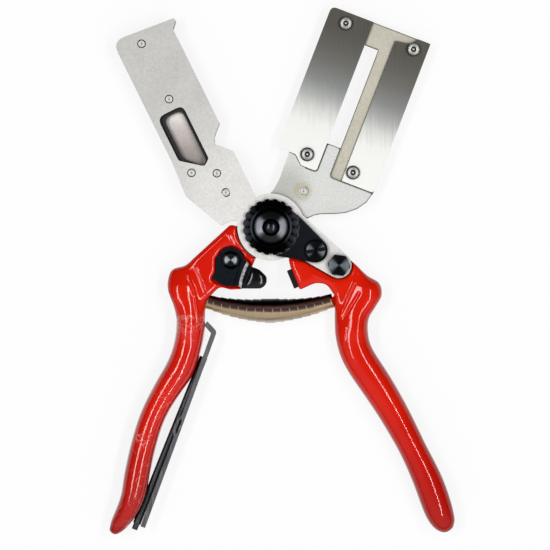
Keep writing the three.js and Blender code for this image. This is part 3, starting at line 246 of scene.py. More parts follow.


# Satin stainless: tumbled with ceramic chips, so it is a soft pale grey with a fine
# speckle and no grain lines. The speckle is about 0.1 mm on the real sheet and is drawn
# at 0.8 mm to show. The sheets' side faces are painted darker as shade, and so are the gaps
# between sheets.
BOSS_HEX = "#E2E1DE"
BOSS_MIDDLE = (12 * MM, -6 * MM, 9 * MM)
BOSS_REACH = 80 * MM
COUNTER_HEX = "#CDCCC8"
CARRIER_HEX = "#DBDCD9"
COUNTER_EDGE_SHADE_HEX = "#B4B4B4"
CARRIER_EDGE_SHADE_HEX = "#505050"
SPACER_HEX = "#3A3A3C"
SPACER_EDGE_SHADE_HEX = "#6C6C6C"
BACK_HEX = "#E9E5E2"
SATIN_ROUGHNESS = 0.64
SHEET_ROUGHNESS = 0.6
ROUGHNESS_SPREAD = 0.14
DEEP_GAP = 0.2
OPEN_GAP = 0.5
SPECKLE_MM = 0.8
CLOUD_MM = 14
WINDOW_FOOT = 25 * MM
WINDOW_TOP = 50 * MM
GAP_REACH = 1.4 * MM


def satin_steel(name, hex_colour, roughness, edge_shade_hex, gap_shade):
    """Satin sheet with its cut edges darker as painted shade, and its gaps darkened to gap_shade as
    painted shade.
    """
    material, tree, principled = new_material(name)
    place = add_node(tree, "ShaderNodeTexCoord").outputs["Object"]
    speckle = add_node(
        tree, "ShaderNodeTexNoise", Vector=place, Scale=1000 / SPECKLE_MM, Detail=3.0)
    cloud = add_node(tree, "ShaderNodeTexNoise", Vector=place, Scale=1000 / CLOUD_MM, Detail=3.0)
    grey = add_node(
        tree, "ShaderNodeValToRGB", Fac=speckle.outputs["Fac"], stops=[(0.32, 0.88), (0.68, 1.0)])
    tone = add_node(
        tree, "ShaderNodeMix", MULTIPLIED,
        in0=1.0, in6=grey.outputs[0], in7=linear(hex_colour))
    # Painted shade: an occlusion node darkens the sheet in its gaps and beside other parts.
    hollow = add_node(
        tree, "ShaderNodeAmbientOcclusion", {"samples": 8}, Distance=GAP_REACH)
    dark = add_node(
        tree, "ShaderNodeValToRGB", Fac=hollow.outputs["AO"],
        stops=[(0.36, gap_shade), (0.8, 1.0)])
    # Painted shade: faces that do not face up, the sheet's cut edges, are darkened.
    facing = add_node(
        tree, "ShaderNodeSeparateXYZ",
        Vector=add_node(tree, "ShaderNodeNewGeometry").outputs["Normal"])
    painted_edge_shade = add_node(
        tree, "ShaderNodeValToRGB", Fac=facing.outputs["Z"],
        stops=[(0.8, linear(edge_shade_hex)[0]), (0.97, 1.0)])
    edged = add_node(
        tree, "ShaderNodeMix", MULTIPLIED,
        in0=1.0, in6=tone.outputs[2], in7=painted_edge_shade.outputs[0])
    shaded = add_node(
        tree, "ShaderNodeMix", MULTIPLIED,
        in0=1.0, in6=edged.outputs[2], in7=dark.outputs[0])
    tree.links.new(shaded.outputs[2], principled.inputs["Base Color"])
    rough = add_node(
        tree, "ShaderNodeMath", {"operation": "MULTIPLY_ADD"},
        in0=cloud.outputs["Fac"], in1=ROUGHNESS_SPREAD, in2=roughness - ROUGHNESS_SPREAD / 2)
    tree.links.new(rough.outputs[0], principled.inputs["Roughness"])
    principled.inputs["Metallic"].default_value = 1.0
    bump = add_node(
        tree, "ShaderNodeBump", Height=speckle.outputs["Fac"], Strength=0.1, Distance=0.02 * MM)
    tree.links.new(bump.outputs[0], principled.inputs["Normal"])
    return material, tree, principled, place, shaded.outputs[2]


# The counter plate is palest at its boss and painted darker towards its head, as a painted
# reflection of the dim ceiling.
counter_steel, tree, principled, place, shaded = satin_steel(
    "tumbled_stainless", BOSS_HEX, SATIN_ROUGHNESS, COUNTER_EDGE_SHADE_HEX, DEEP_GAP)
from_boss = add_node(
    tree, "ShaderNodeVectorMath", {"operation": "DISTANCE"}, in0=place, in1=BOSS_MIDDLE)
away = add_node(
    tree, "ShaderNodeMath", {"operation": "MULTIPLY"},
    in0=from_boss.outputs["Value"], in1=1 / BOSS_REACH)
painted_reflection_fade = add_node(
    tree, "ShaderNodeValToRGB", Fac=away.outputs[0],
    stops=[(0.5, 1.0), (0.9, linear(COUNTER_HEX)[0] / linear(BOSS_HEX)[0])])
toned = add_node(
    tree, "ShaderNodeMix", MULTIPLIED,
    in0=1.0, in6=shaded, in7=painted_reflection_fade.outputs[0])
tree.links.new(toned.outputs[2], principled.inputs["Base Color"])
spacer_steel = satin_steel(
    "blackened_spacer_sheet", SPACER_HEX, SHEET_ROUGHNESS, SPACER_EDGE_SHADE_HEX, DEEP_GAP)[0]
back_steel, tree, principled, place, shaded = satin_steel(
    "bright_back_sheet", BACK_HEX, SHEET_ROUGHNESS, SPACER_EDGE_SHADE_HEX, DEEP_GAP)
# Painted reflection: the back plate, seen through the window, runs from grey at its foot to white
# at its top.
level = add_node(tree, "ShaderNodeSeparateXYZ", Vector=place)
up_window = add_node(
    tree, "ShaderNodeMapRange", Value=level.outputs["Y"], From_Min=WINDOW_FOOT, From_Max=WINDOW_TOP)
painted_window_reflection = add_node(
    tree, "ShaderNodeValToRGB", Fac=up_window.outputs[0],
    stops=[(0.0, "#ADA6A4"), (0.3, "#C0BAB8"), (0.62, "#E0DBD9"), (0.85, "#FFFFFF")])
toned = add_node(
    tree, "ShaderNodeMix", MULTIPLIED,
    in0=1.0, in6=shaded, in7=painted_window_reflection.outputs[0])
tree.links.new(toned.outputs[2], principled.inputs["Base Color"])
for layer, finish, slot in (
        ("counter_plate", counter_steel, "satin_steel"),
        ("counter_spacer", spacer_steel, "spacer_steel"),
        ("counter_back_plate", back_steel, "back_steel")):
    dress(node_copy(layer, EDGE_BREAK), "counter_side", finish, slot, layer)

# The carrier is the same sheet. Its pocket for the blades is milled, which leaves a
# warmer floor, a painted shade darkens the rim of its slot and its free edge, the sheet is
# greyer round its neck, and the pin was pressed in hot, which left a straw halo round it.
POCKET_TOP = 7.8 * MM
POCKET_HEX = "#EDE7DA"
PIN_PLACE = (13.2 * MM, 15.0 * MM)
RIM_REACH = 0.9 * MM
RIM_START = 14 * MM
HALO_MM = 6
NECK_PLACE = (6.5 * MM, 17.0 * MM)
NECK_MM = 12
carrier_steel, tree, principled, place, shaded = satin_steel(
    "tumbled_carrier_stainless", CARRIER_HEX, SATIN_ROUGHNESS, CARRIER_EDGE_SHADE_HEX, OPEN_GAP)
level = add_node(tree, "ShaderNodeSeparateXYZ", Vector=place)
in_pocket = add_node(
    tree, "ShaderNodeMath", {"operation": "LESS_THAN"}, in0=level.outputs["Z"], in1=POCKET_TOP)
floor_tint = add_node(
    tree, "ShaderNodeMix", MULTIPLIED,
    in0=in_pocket.outputs[0], in6=shaded, in7=linear(POCKET_HEX))
flat_place = add_node(
    tree, "ShaderNodeVectorMath", {"operation": "MULTIPLY"}, in0=place, in1=(1, 1, 0))
to_pin = add_node(
    tree, "ShaderNodeVectorMath", {"operation": "DISTANCE"},
    in0=flat_place.outputs[0], in1=(*PIN_PLACE, 0))
far = add_node(
    tree, "ShaderNodeMath", {"operation": "MULTIPLY"},
    in0=to_pin.outputs["Value"], in1=1000 / HALO_MM)
halo = add_node(
    tree, "ShaderNodeValToRGB", Fac=far.outputs[0],
    stops=[(0.0, "#F5EEDA"), (0.3, "#F2E8CE"), (0.36, "#F7F1DF"), (0.55, "#F6F2E4"),
           (0.75, "#FFFFFF")])
tinted = add_node(
    tree, "ShaderNodeMix", MULTIPLIED,
    in0=1.0, in6=floor_tint.outputs[2], in7=halo.outputs[0])
to_neck = add_node(
    tree, "ShaderNodeVectorMath", {"operation": "DISTANCE"},
    in0=flat_place.outputs[0], in1=(*NECK_PLACE, 0))
near = add_node(
    tree, "ShaderNodeMath", {"operation": "MULTIPLY"},
    in0=to_neck.outputs["Value"], in1=1000 / NECK_MM)
greyer_neck = add_node(
    tree, "ShaderNodeValToRGB", Fac=near.outputs[0], stops=[(0.35, "#E8E9E5"), (0.9, "#FFFFFF")])
greyed = add_node(
    tree, "ShaderNodeMix", MULTIPLIED,
    in0=1.0, in6=tinted.outputs[2], in7=greyer_neck.outputs[0])
# Painted shade: right of RIM_START an inside occlusion node darkens the carrier's top along its
# edges.
near_rim = add_node(
    tree, "ShaderNodeAmbientOcclusion", {"samples": 8, "inside": True, "only_local": True},
    Distance=RIM_REACH)
painted_rim_shade = add_node(
    tree, "ShaderNodeValToRGB", Fac=near_rim.outputs["AO"],
    stops=[(0.58, "#3E3E3C"), (0.8, "#FFFFFF")])
on_right = add_node(
    tree, "ShaderNodeMath", {"operation": "GREATER_THAN"}, in0=level.outputs["X"], in1=RIM_START)
rimmed = add_node(
    tree, "ShaderNodeMix", MULTIPLIED,
    in0=on_right.outputs[0], in6=greyed.outputs[2], in7=painted_rim_shade.outputs[0])
tree.links.new(rimmed.outputs[2], principled.inputs["Base Color"])
dress(
    node_copy("carrier_plate", EDGE_BREAK), "blade_side", carrier_steel, "satin_steel",
    "carrier_plate")

# Blades
# Two flat blades of 1 mm knife steel lie in the carrier's pocket under button head
# screws. They are ground along their length and polished, and each is painted from a dark
# mirror at the head to white at the foot, as a painted reflection.
CARRIER_LEAN = math.radians(21)
BLADE_FOOT_MM = 40
BLADE_HEAD_MM = 92
GRIND_MM = 0.7
GRIND_LENGTH_MM = 16
BLADE_EDGE = 0.07 * MM
blade_steel, tree, principled = new_material("ground_knife_steel")
place = add_node(tree, "ShaderNodeTexCoord").outputs["Object"]
turned = add_node(tree, "ShaderNodeMapping", Vector=place, Rotation=(0, 0, CARRIER_LEAN))
parts = add_node(tree, "ShaderNodeSeparateXYZ", Vector=turned.outputs[0])
height = add_node(
    tree, "ShaderNodeMapRange", Value=parts.outputs["Y"],
    From_Min=BLADE_FOOT_MM * MM, From_Max=BLADE_HEAD_MM * MM)
streak_place = add_node(
    tree, "ShaderNodeMapping", Vector=place,
    Scale=(1000 / GRIND_MM, 1000 / GRIND_LENGTH_MM, 1000 / GRIND_LENGTH_MM))
streaks = add_node(
    tree, "ShaderNodeTexNoise",
    Vector=streak_place.outputs[0], Scale=1.0, Detail=4.0, Roughness=0.6)
mixed = add_node(
    tree, "ShaderNodeMath", {"operation": "MULTIPLY_ADD"},
    in0=streaks.outputs["Fac"], in1=0.2, in2=height.outputs[0])
# Painted reflection: the colour runs from near white at the foot to dark grey at the head, and the
# grind streaks show where it is dark.
colour = add_node(
    tree, "ShaderNodeValToRGB", Fac=mixed.outputs[0],
    stops=[(0.0, "#E9E9E7"), (0.22, "#E4E4E1"), (0.34, "#CFCFCC"), (0.44, "#B2B3B0"),
           (0.57, "#8E908F"), (0.72, "#787773"), (0.86, "#6A6862"), (1.0, "#605D57")])
grain = add_node(
    tree, "ShaderNodeValToRGB", Fac=streaks.outputs["Fac"], stops=[(0.35, 0.84), (0.65, 1.0)])
streak_share = add_node(
    tree, "ShaderNodeMapRange", Value=mixed.outputs[0], From_Min=0.32, From_Max=0.5)
tone = add_node(
    tree, "ShaderNodeMix", MULTIPLIED,
    in0=streak_share.outputs[0], in6=colour.outputs[0], in7=grain.outputs[0])
tree.links.new(tone.outputs[2], principled.inputs["Base Color"])
principled.inputs["Metallic"].default_value = 1.0
principled.inputs["Roughness"].default_value = 0.6
bump = add_node(
    tree, "ShaderNodeBump", Height=streaks.outputs["Fac"], Strength=0.1, Distance=0.02 * MM)
tree.links.new(bump.outputs[0], principled.inputs["Normal"])
for blade in ("main_blade", "second_blade"):
    dress(node_copy(blade, BLADE_EDGE), "blade_side", blade_steel, "blade_steel", blade)

# Small screws and pins
# Button head screws with hex sockets hold the blades, and flush rivet ends hold the
# counter plate's layers. All are turned steel, plated dull, with painted shade in their sockets.


def with_spindle(made, x, y):
    """Notes the axis that a piece was turned on, for the rings of its tool marks."""
    spindle = made.data.attributes.new("spindle", "FLOAT_VECTOR", "POINT")
    spindle.data.foreach_set("vector", [x, y, 0.0] * len(made.data.vertices))
    return made


def middle(node):
    """The axis of a round node, from its box."""
    low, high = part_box(node)
    return (low[0] + high[0]) / 2, (low[1] + high[1]) / 2


# Turned steel: the tool leaves fine rings, which pull every highlight out into two wedges
# that point at the softboxes, and bow paints those wedges in as well, as painted highlight.
# The rings are about 0.1 mm and are drawn coarser.
RING_MM = 0.5
WAVES_PER_UNIT = 20
SCREW_EDGE = 0.12 * MM
SLOT_SHADE_HEX = "#141416"


def turned_steel(
        name, stops, reach_mm, roughness, pull, slot_floor_mm=0.0, bow=0.0, ring_depth=0.15):
    """Turned steel, coloured by the distance from its spindle, darker off the wedges by bow as
    painted highlight, with painted shade in hollows and below slot_floor_mm.
    """
    material, tree, principled = new_material(name)
    place = add_node(tree, "ShaderNodeTexCoord").outputs["Object"]
    spindle = add_node(tree, "ShaderNodeAttribute", {"attribute_name": "spindle"})
    arm = add_node(
        tree, "ShaderNodeVectorMath", {"operation": "SUBTRACT"},
        in0=place, in1=spindle.outputs["Vector"])
    flat = add_node(
        tree, "ShaderNodeVectorMath", {"operation": "MULTIPLY"}, in0=arm.outputs[0], in1=(1, 1, 0))
    reach = add_node(tree, "ShaderNodeVectorMath", {"operation": "LENGTH"}, in0=flat.outputs[0])
    share = add_node(
        tree, "ShaderNodeMath", {"operation": "MULTIPLY"},
        in0=reach.outputs["Value"], in1=1000 / reach_mm)
    colour = add_node(tree, "ShaderNodeValToRGB", Fac=share.outputs[0], stops=stops)
    unit = add_node(
        tree, "ShaderNodeVectorMath", {"operation": "NORMALIZE"}, in0=flat.outputs[0])
    heading = add_node(tree, "ShaderNodeSeparateXYZ", Vector=unit.outputs[0])
    sideways = add_node(
        tree, "ShaderNodeMath", {"operation": "ABSOLUTE"}, in0=heading.outputs["X"])
    # Painted highlight: away from the X axis the colour is darkened by bow, which leaves bright
    # wedges towards the softboxes.
    painted_wedges = add_node(
        tree, "ShaderNodeValToRGB", Fac=sideways.outputs[0], stops=[(0.62, 1.0 - bow), (0.94, 1.0)])
    wedged = add_node(
        tree, "ShaderNodeMix", MULTIPLIED,
        in0=1.0, in6=colour.outputs[0], in7=painted_wedges.outputs[0])
    # Painted shade: an occlusion node darkens hollows and the surface beside other parts.
    hollow = add_node(tree, "ShaderNodeAmbientOcclusion", {"samples": 8}, Distance=GAP_REACH)
    dark = add_node(
        tree, "ShaderNodeValToRGB", Fac=hollow.outputs["AO"], stops=[(0.35, 0.1), (0.8, 1.0)])
    shaded = add_node(
        tree, "ShaderNodeMix", MULTIPLIED,
        in0=1.0, in6=wedged.outputs[2], in7=dark.outputs[0])
    # Painted shade: below slot_floor_mm the colour turns near black, for the slot's floor.
    level = add_node(tree, "ShaderNodeSeparateXYZ", Vector=place)
    in_slot = add_node(
        tree, "ShaderNodeMath", {"operation": "LESS_THAN"},
        in0=level.outputs["Z"], in1=slot_floor_mm * MM)
    slot_shaded = add_node(
        tree, "ShaderNodeMix", {"data_type": "RGBA"},
        in0=in_slot.outputs[0], in6=shaded.outputs[2], in7=linear(SLOT_SHADE_HEX))
    tree.links.new(slot_shaded.outputs[2], principled.inputs["Base Color"])
    principled.inputs["Metallic"].default_value = 1.0
    principled.inputs["Roughness"].default_value = roughness
    principled.inputs["Anisotropic"].default_value = pull
    outward = add_node(
        tree, "ShaderNodeVectorTransform",
        {"vector_type": "VECTOR", "convert_from": "OBJECT", "convert_to": "WORLD"},
        Vector=flat.outputs[0])
    tree.links.new(outward.outputs[0], principled.inputs["Tangent"])
    rings = add_node(
        tree, "ShaderNodeTexWave", {"wave_type": "RINGS", "rings_direction": "Z"},
        Vector=flat.outputs[0], Scale=1000 / RING_MM / WAVES_PER_UNIT, Distortion=1.0, Detail=2.0)
    bump = add_node(
        tree, "ShaderNodeBump",
        Height=rings.outputs["Fac"], Strength=ring_depth, Distance=0.02 * MM)
    tree.links.new(bump.outputs[0], principled.inputs["Normal"])
    return material


# Painted shade: the dark band in these stops lies over the hex socket; the head also grows darker
# towards its rim.
blade_screw_steel = turned_steel(
    "plated_button_head",
    [(0.0, "#E8E8E6"), (0.1, "#E8E8E6"), (0.14, "#4A4A4A"), (0.36, "#3A3A3A"),
     (0.42, "#C9C9C6"), (0.7, "#B4B4B1"), (0.82, "#8A8A88"), (0.92, "#3C3C3C")],
    reach_mm=3.0, roughness=0.38, pull=0.5)
flush_screw_steel = turned_steel(
    "flush_rivet_end",
    [(0.0, "#6A6A68"), (0.16, "#8A8A88"), (0.32, "#CFCECA"), (0.6, "#B9B8B5"),
     (0.7, "#CFCECA"), (0.8, "#5A5A58"), (0.9, "#343434")],
    reach_mm=1.8, roughness=0.5, pull=0.3)
for body, finish, screws in (
        ("blade_side", blade_screw_steel, (
            "main_blade_screw_top", "main_blade_screw_foot",
            "second_blade_screw_top", "second_blade_screw_foot")),
        ("counter_side", flush_screw_steel, (
            "counter_screw_1", "counter_screw_2", "counter_screw_3", "counter_screw_4",
            "counter_pin")),
        ("blade_side", flush_screw_steel, ("carrier_pin",))):
    for screw in screws:
        made = with_spindle(node_copy(screw, SCREW_EDGE), *middle(screw))
        dress(made, body, finish, "screw_steel", screw)

# Pivot
# The pivot bolt, its toothed nut, the segment that locks the nut, the segment's slotted
# screw and the hex bolt through the tang are turned or stamped steel, blackened hot and
# lightly oiled, so they are near black with a clean shine.
PIVOT_EDGE = 0.16 * MM
# Painted highlight: the nut's stops make its hub ring lighter, and with bow this paints its bright
# wedges; the bolts' bows paint theirs the same way.
black_steel = turned_steel(
    "black_oxide_turned",
    [(0.0, "#26282D"), (0.28, "#4A4D53"), (0.34, "#7E8187"), (0.5, "#74777D"), (0.56, "#3A3C42"),
     (0.6, "#131417"), (0.66, "#131417"), (0.7, "#34373D"), (0.76, "#16181B"), (1.0, "#303338")],
    reach_mm=11.6, roughness=0.3, pull=0.95, bow=0.82)
black_plate = turned_steel(
    "black_oxide_plate", [(0.0, "#121418"), (1.0, "#16181C")],
    reach_mm=20, roughness=0.45, pull=0.3)
black_bolt = turned_steel(
    "black_oxide_bolt", [(0.0, "#4A4E54"), (0.8, "#5C6168"), (1.0, "#24272B")],
    reach_mm=4.8, roughness=0.38, pull=1.0, bow=0.85)
black_slotted = turned_steel(
    "black_oxide_slotted", [(0.0, "#4A4E54"), (0.8, "#5C6168"), (1.0, "#1A1C1F")],
    reach_mm=4.8, roughness=0.38, pull=1.0, slot_floor_mm=15.2, bow=0.85)
dome_steel = turned_steel(
    "black_oxide_dome", [(0.0, "#3A3C42"), (0.5, "#2A2B30"), (1.0, "#121316")],
    reach_mm=3.4, roughness=0.2, pull=0.0, ring_depth=0.0)
pivot_finishes = {
    "pivot_bolt": (dome_steel, "pivot_bolt"), "pivot_nut": (black_steel, "pivot_nut"),
    "lock_segment": (black_plate, "pivot_bolt"),
    "segment_screw": (black_slotted, "segment_screw"),
    "tang_bolt": (black_bolt, "tang_bolt")}
for name, (finish, centred_on) in pivot_finishes.items():
    made = with_spindle(node_copy(name, PIVOT_EDGE), *middle(centred_on))
    dress(made, "counter_side", finish, "black_steel", name)

# Handles
# Each handle is one forging, dipped as a whole in thick red vinyl, which fills its
# corners and hides where the fat grip begins. Long ridges run over the shoulders. The
# left grip still wears its clear packing sleeve, which is wrinkled.
COAT_VOXEL = 0.4 * MM
COAT_PASSES = 40
COAT_EASE = 8
COAT_PULL = (0.5, -0.53)
SEAM_TOP = -29 * MM
SEAM_FOOT = -62 * MM
SEAM_FADE = 12 * MM
SEAM_TOP_SHARE = 0.25
SEAM_STEPS = 12
SEAM_PASSES = 8
PILLOW_TOP = -30 * MM
PILLOW_PASSES = 50
CORNER_REACHES = (5 * MM, 7 * MM, 9.5 * MM)
CORNER_PASSES = 60
LEFT_CORNER = (-41.5 * MM, -16.9 * MM)
RIGHT_CORNER = (44.8 * MM, -22.3 * MM)
GRIP_SMOOTHING = 2
GRIP_JOIN_ANGLE = math.radians(40)
GRIP_JOIN_SHAPE = math.radians(180)
UPWARD = 0.2
SHOULDER_WIDTH, SHOULDER_TAPER = 5.5, 8.0
RIDGE_WIDTH, RIDGE_TAPER = 0.5, 2.5
LEFT_SHOULDER = [((-37.4, -24.5), (-36.2, -42.0), 1.7)]
LEFT_RIDGES = [
    ((-31.0, -16.5), (-27.3, -27.2), 0.34), ((-34.4, -19.4), (-31.3, -28.2), 0.34),
    ((-31.0, -29.6), (-29.8, -40.9), 0.34), ((-17.4, -3.2), (-14.1, -10.3), 0.26)]
RIGHT_SHOULDER = [((40.2, -25.5), (37.6, -42.0), 1.7)]
RIGHT_RIDGES = [
    ((34.6, -22.6), (28.6, -36.4), 0.34), ((36.4, -27.2), (29.8, -38.0), -0.3),
    ((30.5, -41.5), (30.1, -47.0), 0.2), ((17.4, -19.4), (25.7, -23.1), 0.2)]


def smoothed_grip(node):
    """The grip's rings rounded by subdivision, as plain mesh data."""
    mesh = bmesh.new()
    mesh.from_mesh(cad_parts[node].data)
    bmesh.ops.remove_doubles(mesh, verts=mesh.verts, dist=MERGE_DISTANCE)
    bmesh.ops.join_triangles(
        mesh, faces=mesh.faces, angle_face_threshold=GRIP_JOIN_ANGLE,
        angle_shape_threshold=GRIP_JOIN_SHAPE)
    made = finish_mesh(mesh, node + "_rounded", 180)
    rounding = made.modifiers.new("soft", "SUBSURF")
    rounding.levels = rounding.render_levels = GRIP_SMOOTHING
    rounded = baked_data(made)
    bpy.data.objects.remove(made)
    return rounded


def baked_data(made):
    """The mesh of an object with its modifiers applied."""
    bpy.context.view_layer.update()
    evaluated = made.evaluated_get(bpy.context.evaluated_depsgraph_get())
    return bpy.data.meshes.new_from_object(evaluated)


def ridge_lift(place, ridges, width, taper):
    """How far a point of the coat stands up for the ridges near it, or sinks for a groove."""
    lift = 0.0
    for start, end, height in ridges:
        start, end = Vector(start) * MM, Vector(end) * MM
        along = end - start
        share = (place.xy - start).dot(along) / along.length_squared
        nearest = start + along * min(max(share, 0), 1)
        past = max(-share, share - 1, 0) * along.length / (taper * MM)
        beside = place.xy - start - along * share if 0 <= share <= 1 else place.xy - nearest
        off = beside.length
        own = height * MM * math.exp(-(off / (width * MM)) ** 2) * max(0, 1 - past)
        lift = max(lift, own, key=abs)
    return lift


def outer_shell(made, voxel):
    """A bmesh of even quads over an object's outside, without what is closed in."""
    skin = made.modifiers.new("skin", "REMESH")
    skin.mode = "VOXEL"
    skin.voxel_size = voxel
    skinned = baked_data(made)
    made.modifiers.clear()
    shell_mesh = bmesh.new()
    shell_mesh.from_mesh(skinned)
    outer = max(shell_mesh.verts, key=lambda v: v.co.z)
    shell, edge_of_shell = {outer}, [outer]
    while edge_of_shell:
        vert = edge_of_shell.pop()
        for edge in vert.link_edges:
            other = edge.other_vert(vert)
            if other not in shell:
                shell.add(other)
                edge_of_shell.append(other)
    inner = [v for v in shell_mesh.verts if v not in shell]
    bmesh.ops.delete(shell_mesh, geom=inner, context="VERTS")
    return shell_mesh


def soften(mesh, verts, passes, flat=True, factor=0.5):
    """Smooths vertices, and where flat is False only their levels, which keeps the outline."""
    for _ in range(passes):
        bmesh.ops.smooth_vert(
            mesh, verts=verts, factor=factor, use_axis_x=flat, use_axis_y=flat, use_axis_z=True)


def raise_ridges(mesh, ridges, width, taper):
    """Moves the upper side of a skin up or down along its ridges and grooves."""
    mesh.normal_update()
    for vert in mesh.verts:
        if vert.normal.z > UPWARD:
            vert.co.z += ridge_lift(vert.co, ridges, width, taper) * vert.normal.z


def dipped_handle(name, handle, grip, shoulder, ridges, corner):
    """The forging and its grip under one vinyl skin, with the shoulder's bulge and ridges."""
    mesh = bmesh.new()
    mesh.from_mesh(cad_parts[handle].data)
    bmesh.ops.remove_doubles(mesh, verts=mesh.verts, dist=MERGE_DISTANCE)
    mesh.from_mesh(smoothed_grip(grip))
    data = bpy.data.meshes.new(name)
    mesh.to_mesh(data)
    mesh.free()
    made = bpy.data.objects.new(name, data)
    scene.collection.objects.link(made)
    soft = outer_shell(made, COAT_VOXEL)
    for factor in COAT_PULL * COAT_PASSES:
        soften(soft, soft.verts, 1, factor=factor)
    soften(soft, soft.verts, COAT_EASE)
    for reach in CORNER_REACHES:
        close = [v for v in soft.verts if (v.co.xy - Vector(corner)).length < reach]
        soften(soft, close, CORNER_PASSES)
    soften(soft, [v for v in soft.verts if v.co.y > PILLOW_TOP], PILLOW_PASSES, flat=False)
    raise_ridges(soft, shoulder, SHOULDER_WIDTH, SHOULDER_TAPER)
    for step in range(SEAM_STEPS):
        inset = SEAM_FADE * step / SEAM_STEPS
        low, high = SEAM_FOOT + inset, SEAM_TOP - inset * SEAM_TOP_SHARE
        soften(soft, [v for v in soft.verts if low < v.co.y < high], SEAM_PASSES)
    raise_ridges(soft, ridges, RIDGE_WIDTH, RIDGE_TAPER)
    for face in soft.faces:
        face.smooth = True
    soft.to_mesh(data)
    soft.free()
    return made


# Dipped vinyl: a thick smooth plastisol skin, so its red is deep and even and its gloss
# is soft, with a faint orange peel about 3 mm across. Towards the foot its red is
# darkened as painted shade.
VINYL_HEX = "#DE1801"
PEEL_MM = 3
VINYL_CLOUD_MM = 22
FOOT_SHADE_TOP = -75 * MM
FOOT_SHADE_END = -125 * MM


def red_vinyl(name):
    """Dipped vinyl, with what a sleeve over it is wired to."""
    material, tree, principled = new_material(name)
    place = add_node(tree, "ShaderNodeTexCoord").outputs["Object"]
    broad = add_node(
        tree, "ShaderNodeTexNoise", Vector=place, Scale=1000 / VINYL_CLOUD_MM, Detail=3.0)
    peel = add_node(tree, "ShaderNodeTexNoise", Vector=place, Scale=1000 / PEEL_MM, Detail=2.0)
    colour = add_node(
        tree, "ShaderNodeValToRGB", Fac=broad.outputs["Fac"],
        stops=[(0.3, "#D61300"), (0.5, VINYL_HEX), (0.75, "#E42003")])
    level = add_node(tree, "ShaderNodeSeparateXYZ", Vector=place)
    # Painted shade: the red is darkened towards the foot.
    down = add_node(
        tree, "ShaderNodeMapRange",
        Value=level.outputs["Y"], From_Min=FOOT_SHADE_TOP, From_Max=FOOT_SHADE_END)
    painted_foot_shade = add_node(
        tree, "ShaderNodeValToRGB", Fac=down.outputs[0],
        stops=[(0.0, "#FFFFFF"), (1.0, "#CC9A9A")])
    foot_shaded = add_node(
        tree, "ShaderNodeMix", MULTIPLIED,
        in0=1.0, in6=colour.outputs[0], in7=painted_foot_shade.outputs[0])
    tree.links.new(foot_shaded.outputs[2], principled.inputs["Base Color"])
    principled.inputs["Roughness"].default_value = 0.1
    principled.inputs["IOR"].default_value = 1.5
    principled.inputs["Specular IOR Level"].default_value = 0.32
    bump = add_node(
        tree, "ShaderNodeBump", Height=peel.outputs["Fac"], Strength=0.03, Distance=0.03 * MM)
    tree.links.new(bump.outputs[0], principled.inputs["Normal"])
    return material, tree, principled, place, foot_shaded.outputs[2]


# Clear polythene over the vinyl: a second sharp gloss with creases of its own, and a few
# white lines painted as highlights on its folds. It begins in a gathered edge just below the
# shoulder, where painted highlights also run along its pleats.
SLEEVE_TOP = -37 * MM
SLEEVE_FOOT = -122 * MM
SLEEVE_WEIGHT = 0.7
GATHER_FOOT = -45 * MM
GATHER_TALL = 14 * MM
GATHER_MM = 3
CREASE_MM = 4
FOLD_MM = 9
WANDER_MM = 5
WANDER_TALL = 4 * MM
TIP_SHADE_HEX = "#A80C02"
FILM_GLINT_HEX = "#F2A69C"
bare_vinyl = red_vinyl("dipped_red_vinyl")[0]
sleeved_vinyl, tree, principled, place, red = red_vinyl("dipped_red_vinyl_in_sleeve")
level = add_node(tree, "ShaderNodeSeparateXYZ", Vector=place)
edge_wander = add_node(
    tree, "ShaderNodeTexNoise", Vector=place, Scale=1000 / WANDER_MM, Detail=2.0)
edge_level = add_node(
    tree, "ShaderNodeMath", {"operation": "MULTIPLY_ADD"},
    in0=edge_wander.outputs["Fac"], in1=WANDER_TALL, in2=level.outputs["Y"])
below = add_node(
    tree, "ShaderNodeMath", {"operation": "LESS_THAN"},
    in0=edge_level.outputs[0], in1=SLEEVE_TOP + WANDER_TALL / 2)
above = add_node(
    tree, "ShaderNodeMath", {"operation": "GREATER_THAN"},
    in0=edge_level.outputs[0], in1=SLEEVE_FOOT)
sleeve = add_node(
    tree, "ShaderNodeMath", {"operation": "MULTIPLY"}, in0=below.outputs[0], in1=above.outputs[0])
film = add_node(
    tree, "ShaderNodeMath", {"operation": "MULTIPLY"}, in0=sleeve.outputs[0], in1=SLEEVE_WEIGHT)
tree.links.new(film.outputs[0], principled.inputs["Coat Weight"])
principled.inputs["Coat Roughness"].default_value = 0.06
principled.inputs["Coat IOR"].default_value = 1.32
creases = add_node(
    tree, "ShaderNodeTexNoise",
    Vector=place, Scale=1000 / CREASE_MM, Detail=5.0, Roughness=0.6, Distortion=1.2)
creased = add_node(
    tree, "ShaderNodeBump", Height=creases.outputs["Fac"], Strength=0.35, Distance=0.4 * MM)
tree.links.new(creased.outputs[0], principled.inputs["Coat Normal"])
fold = add_node(
    tree, "ShaderNodeTexNoise", Vector=place, Scale=1000 / FOLD_MM, Detail=1.0, Distortion=0.8)
fold_line = add_node(
    tree, "ShaderNodeValToRGB", Fac=fold.outputs["Fac"],
    stops=[(0.0, 0.0), (0.485, 0.0), (0.5, 0.7), (0.515, 0.0), (1.0, 0.0)])
patches = add_node(
    tree, "ShaderNodeValToRGB", Fac=creases.outputs["Fac"], stops=[(0.5, 0.0), (0.62, 1.0)])
lines = add_node(
    tree, "ShaderNodeMath", {"operation": "MULTIPLY"},
    in0=fold_line.outputs[0], in1=patches.outputs[0])
lines = add_node(
    tree, "ShaderNodeMath", {"operation": "MULTIPLY"}, in0=lines.outputs[0], in1=sleeve.outputs[0])
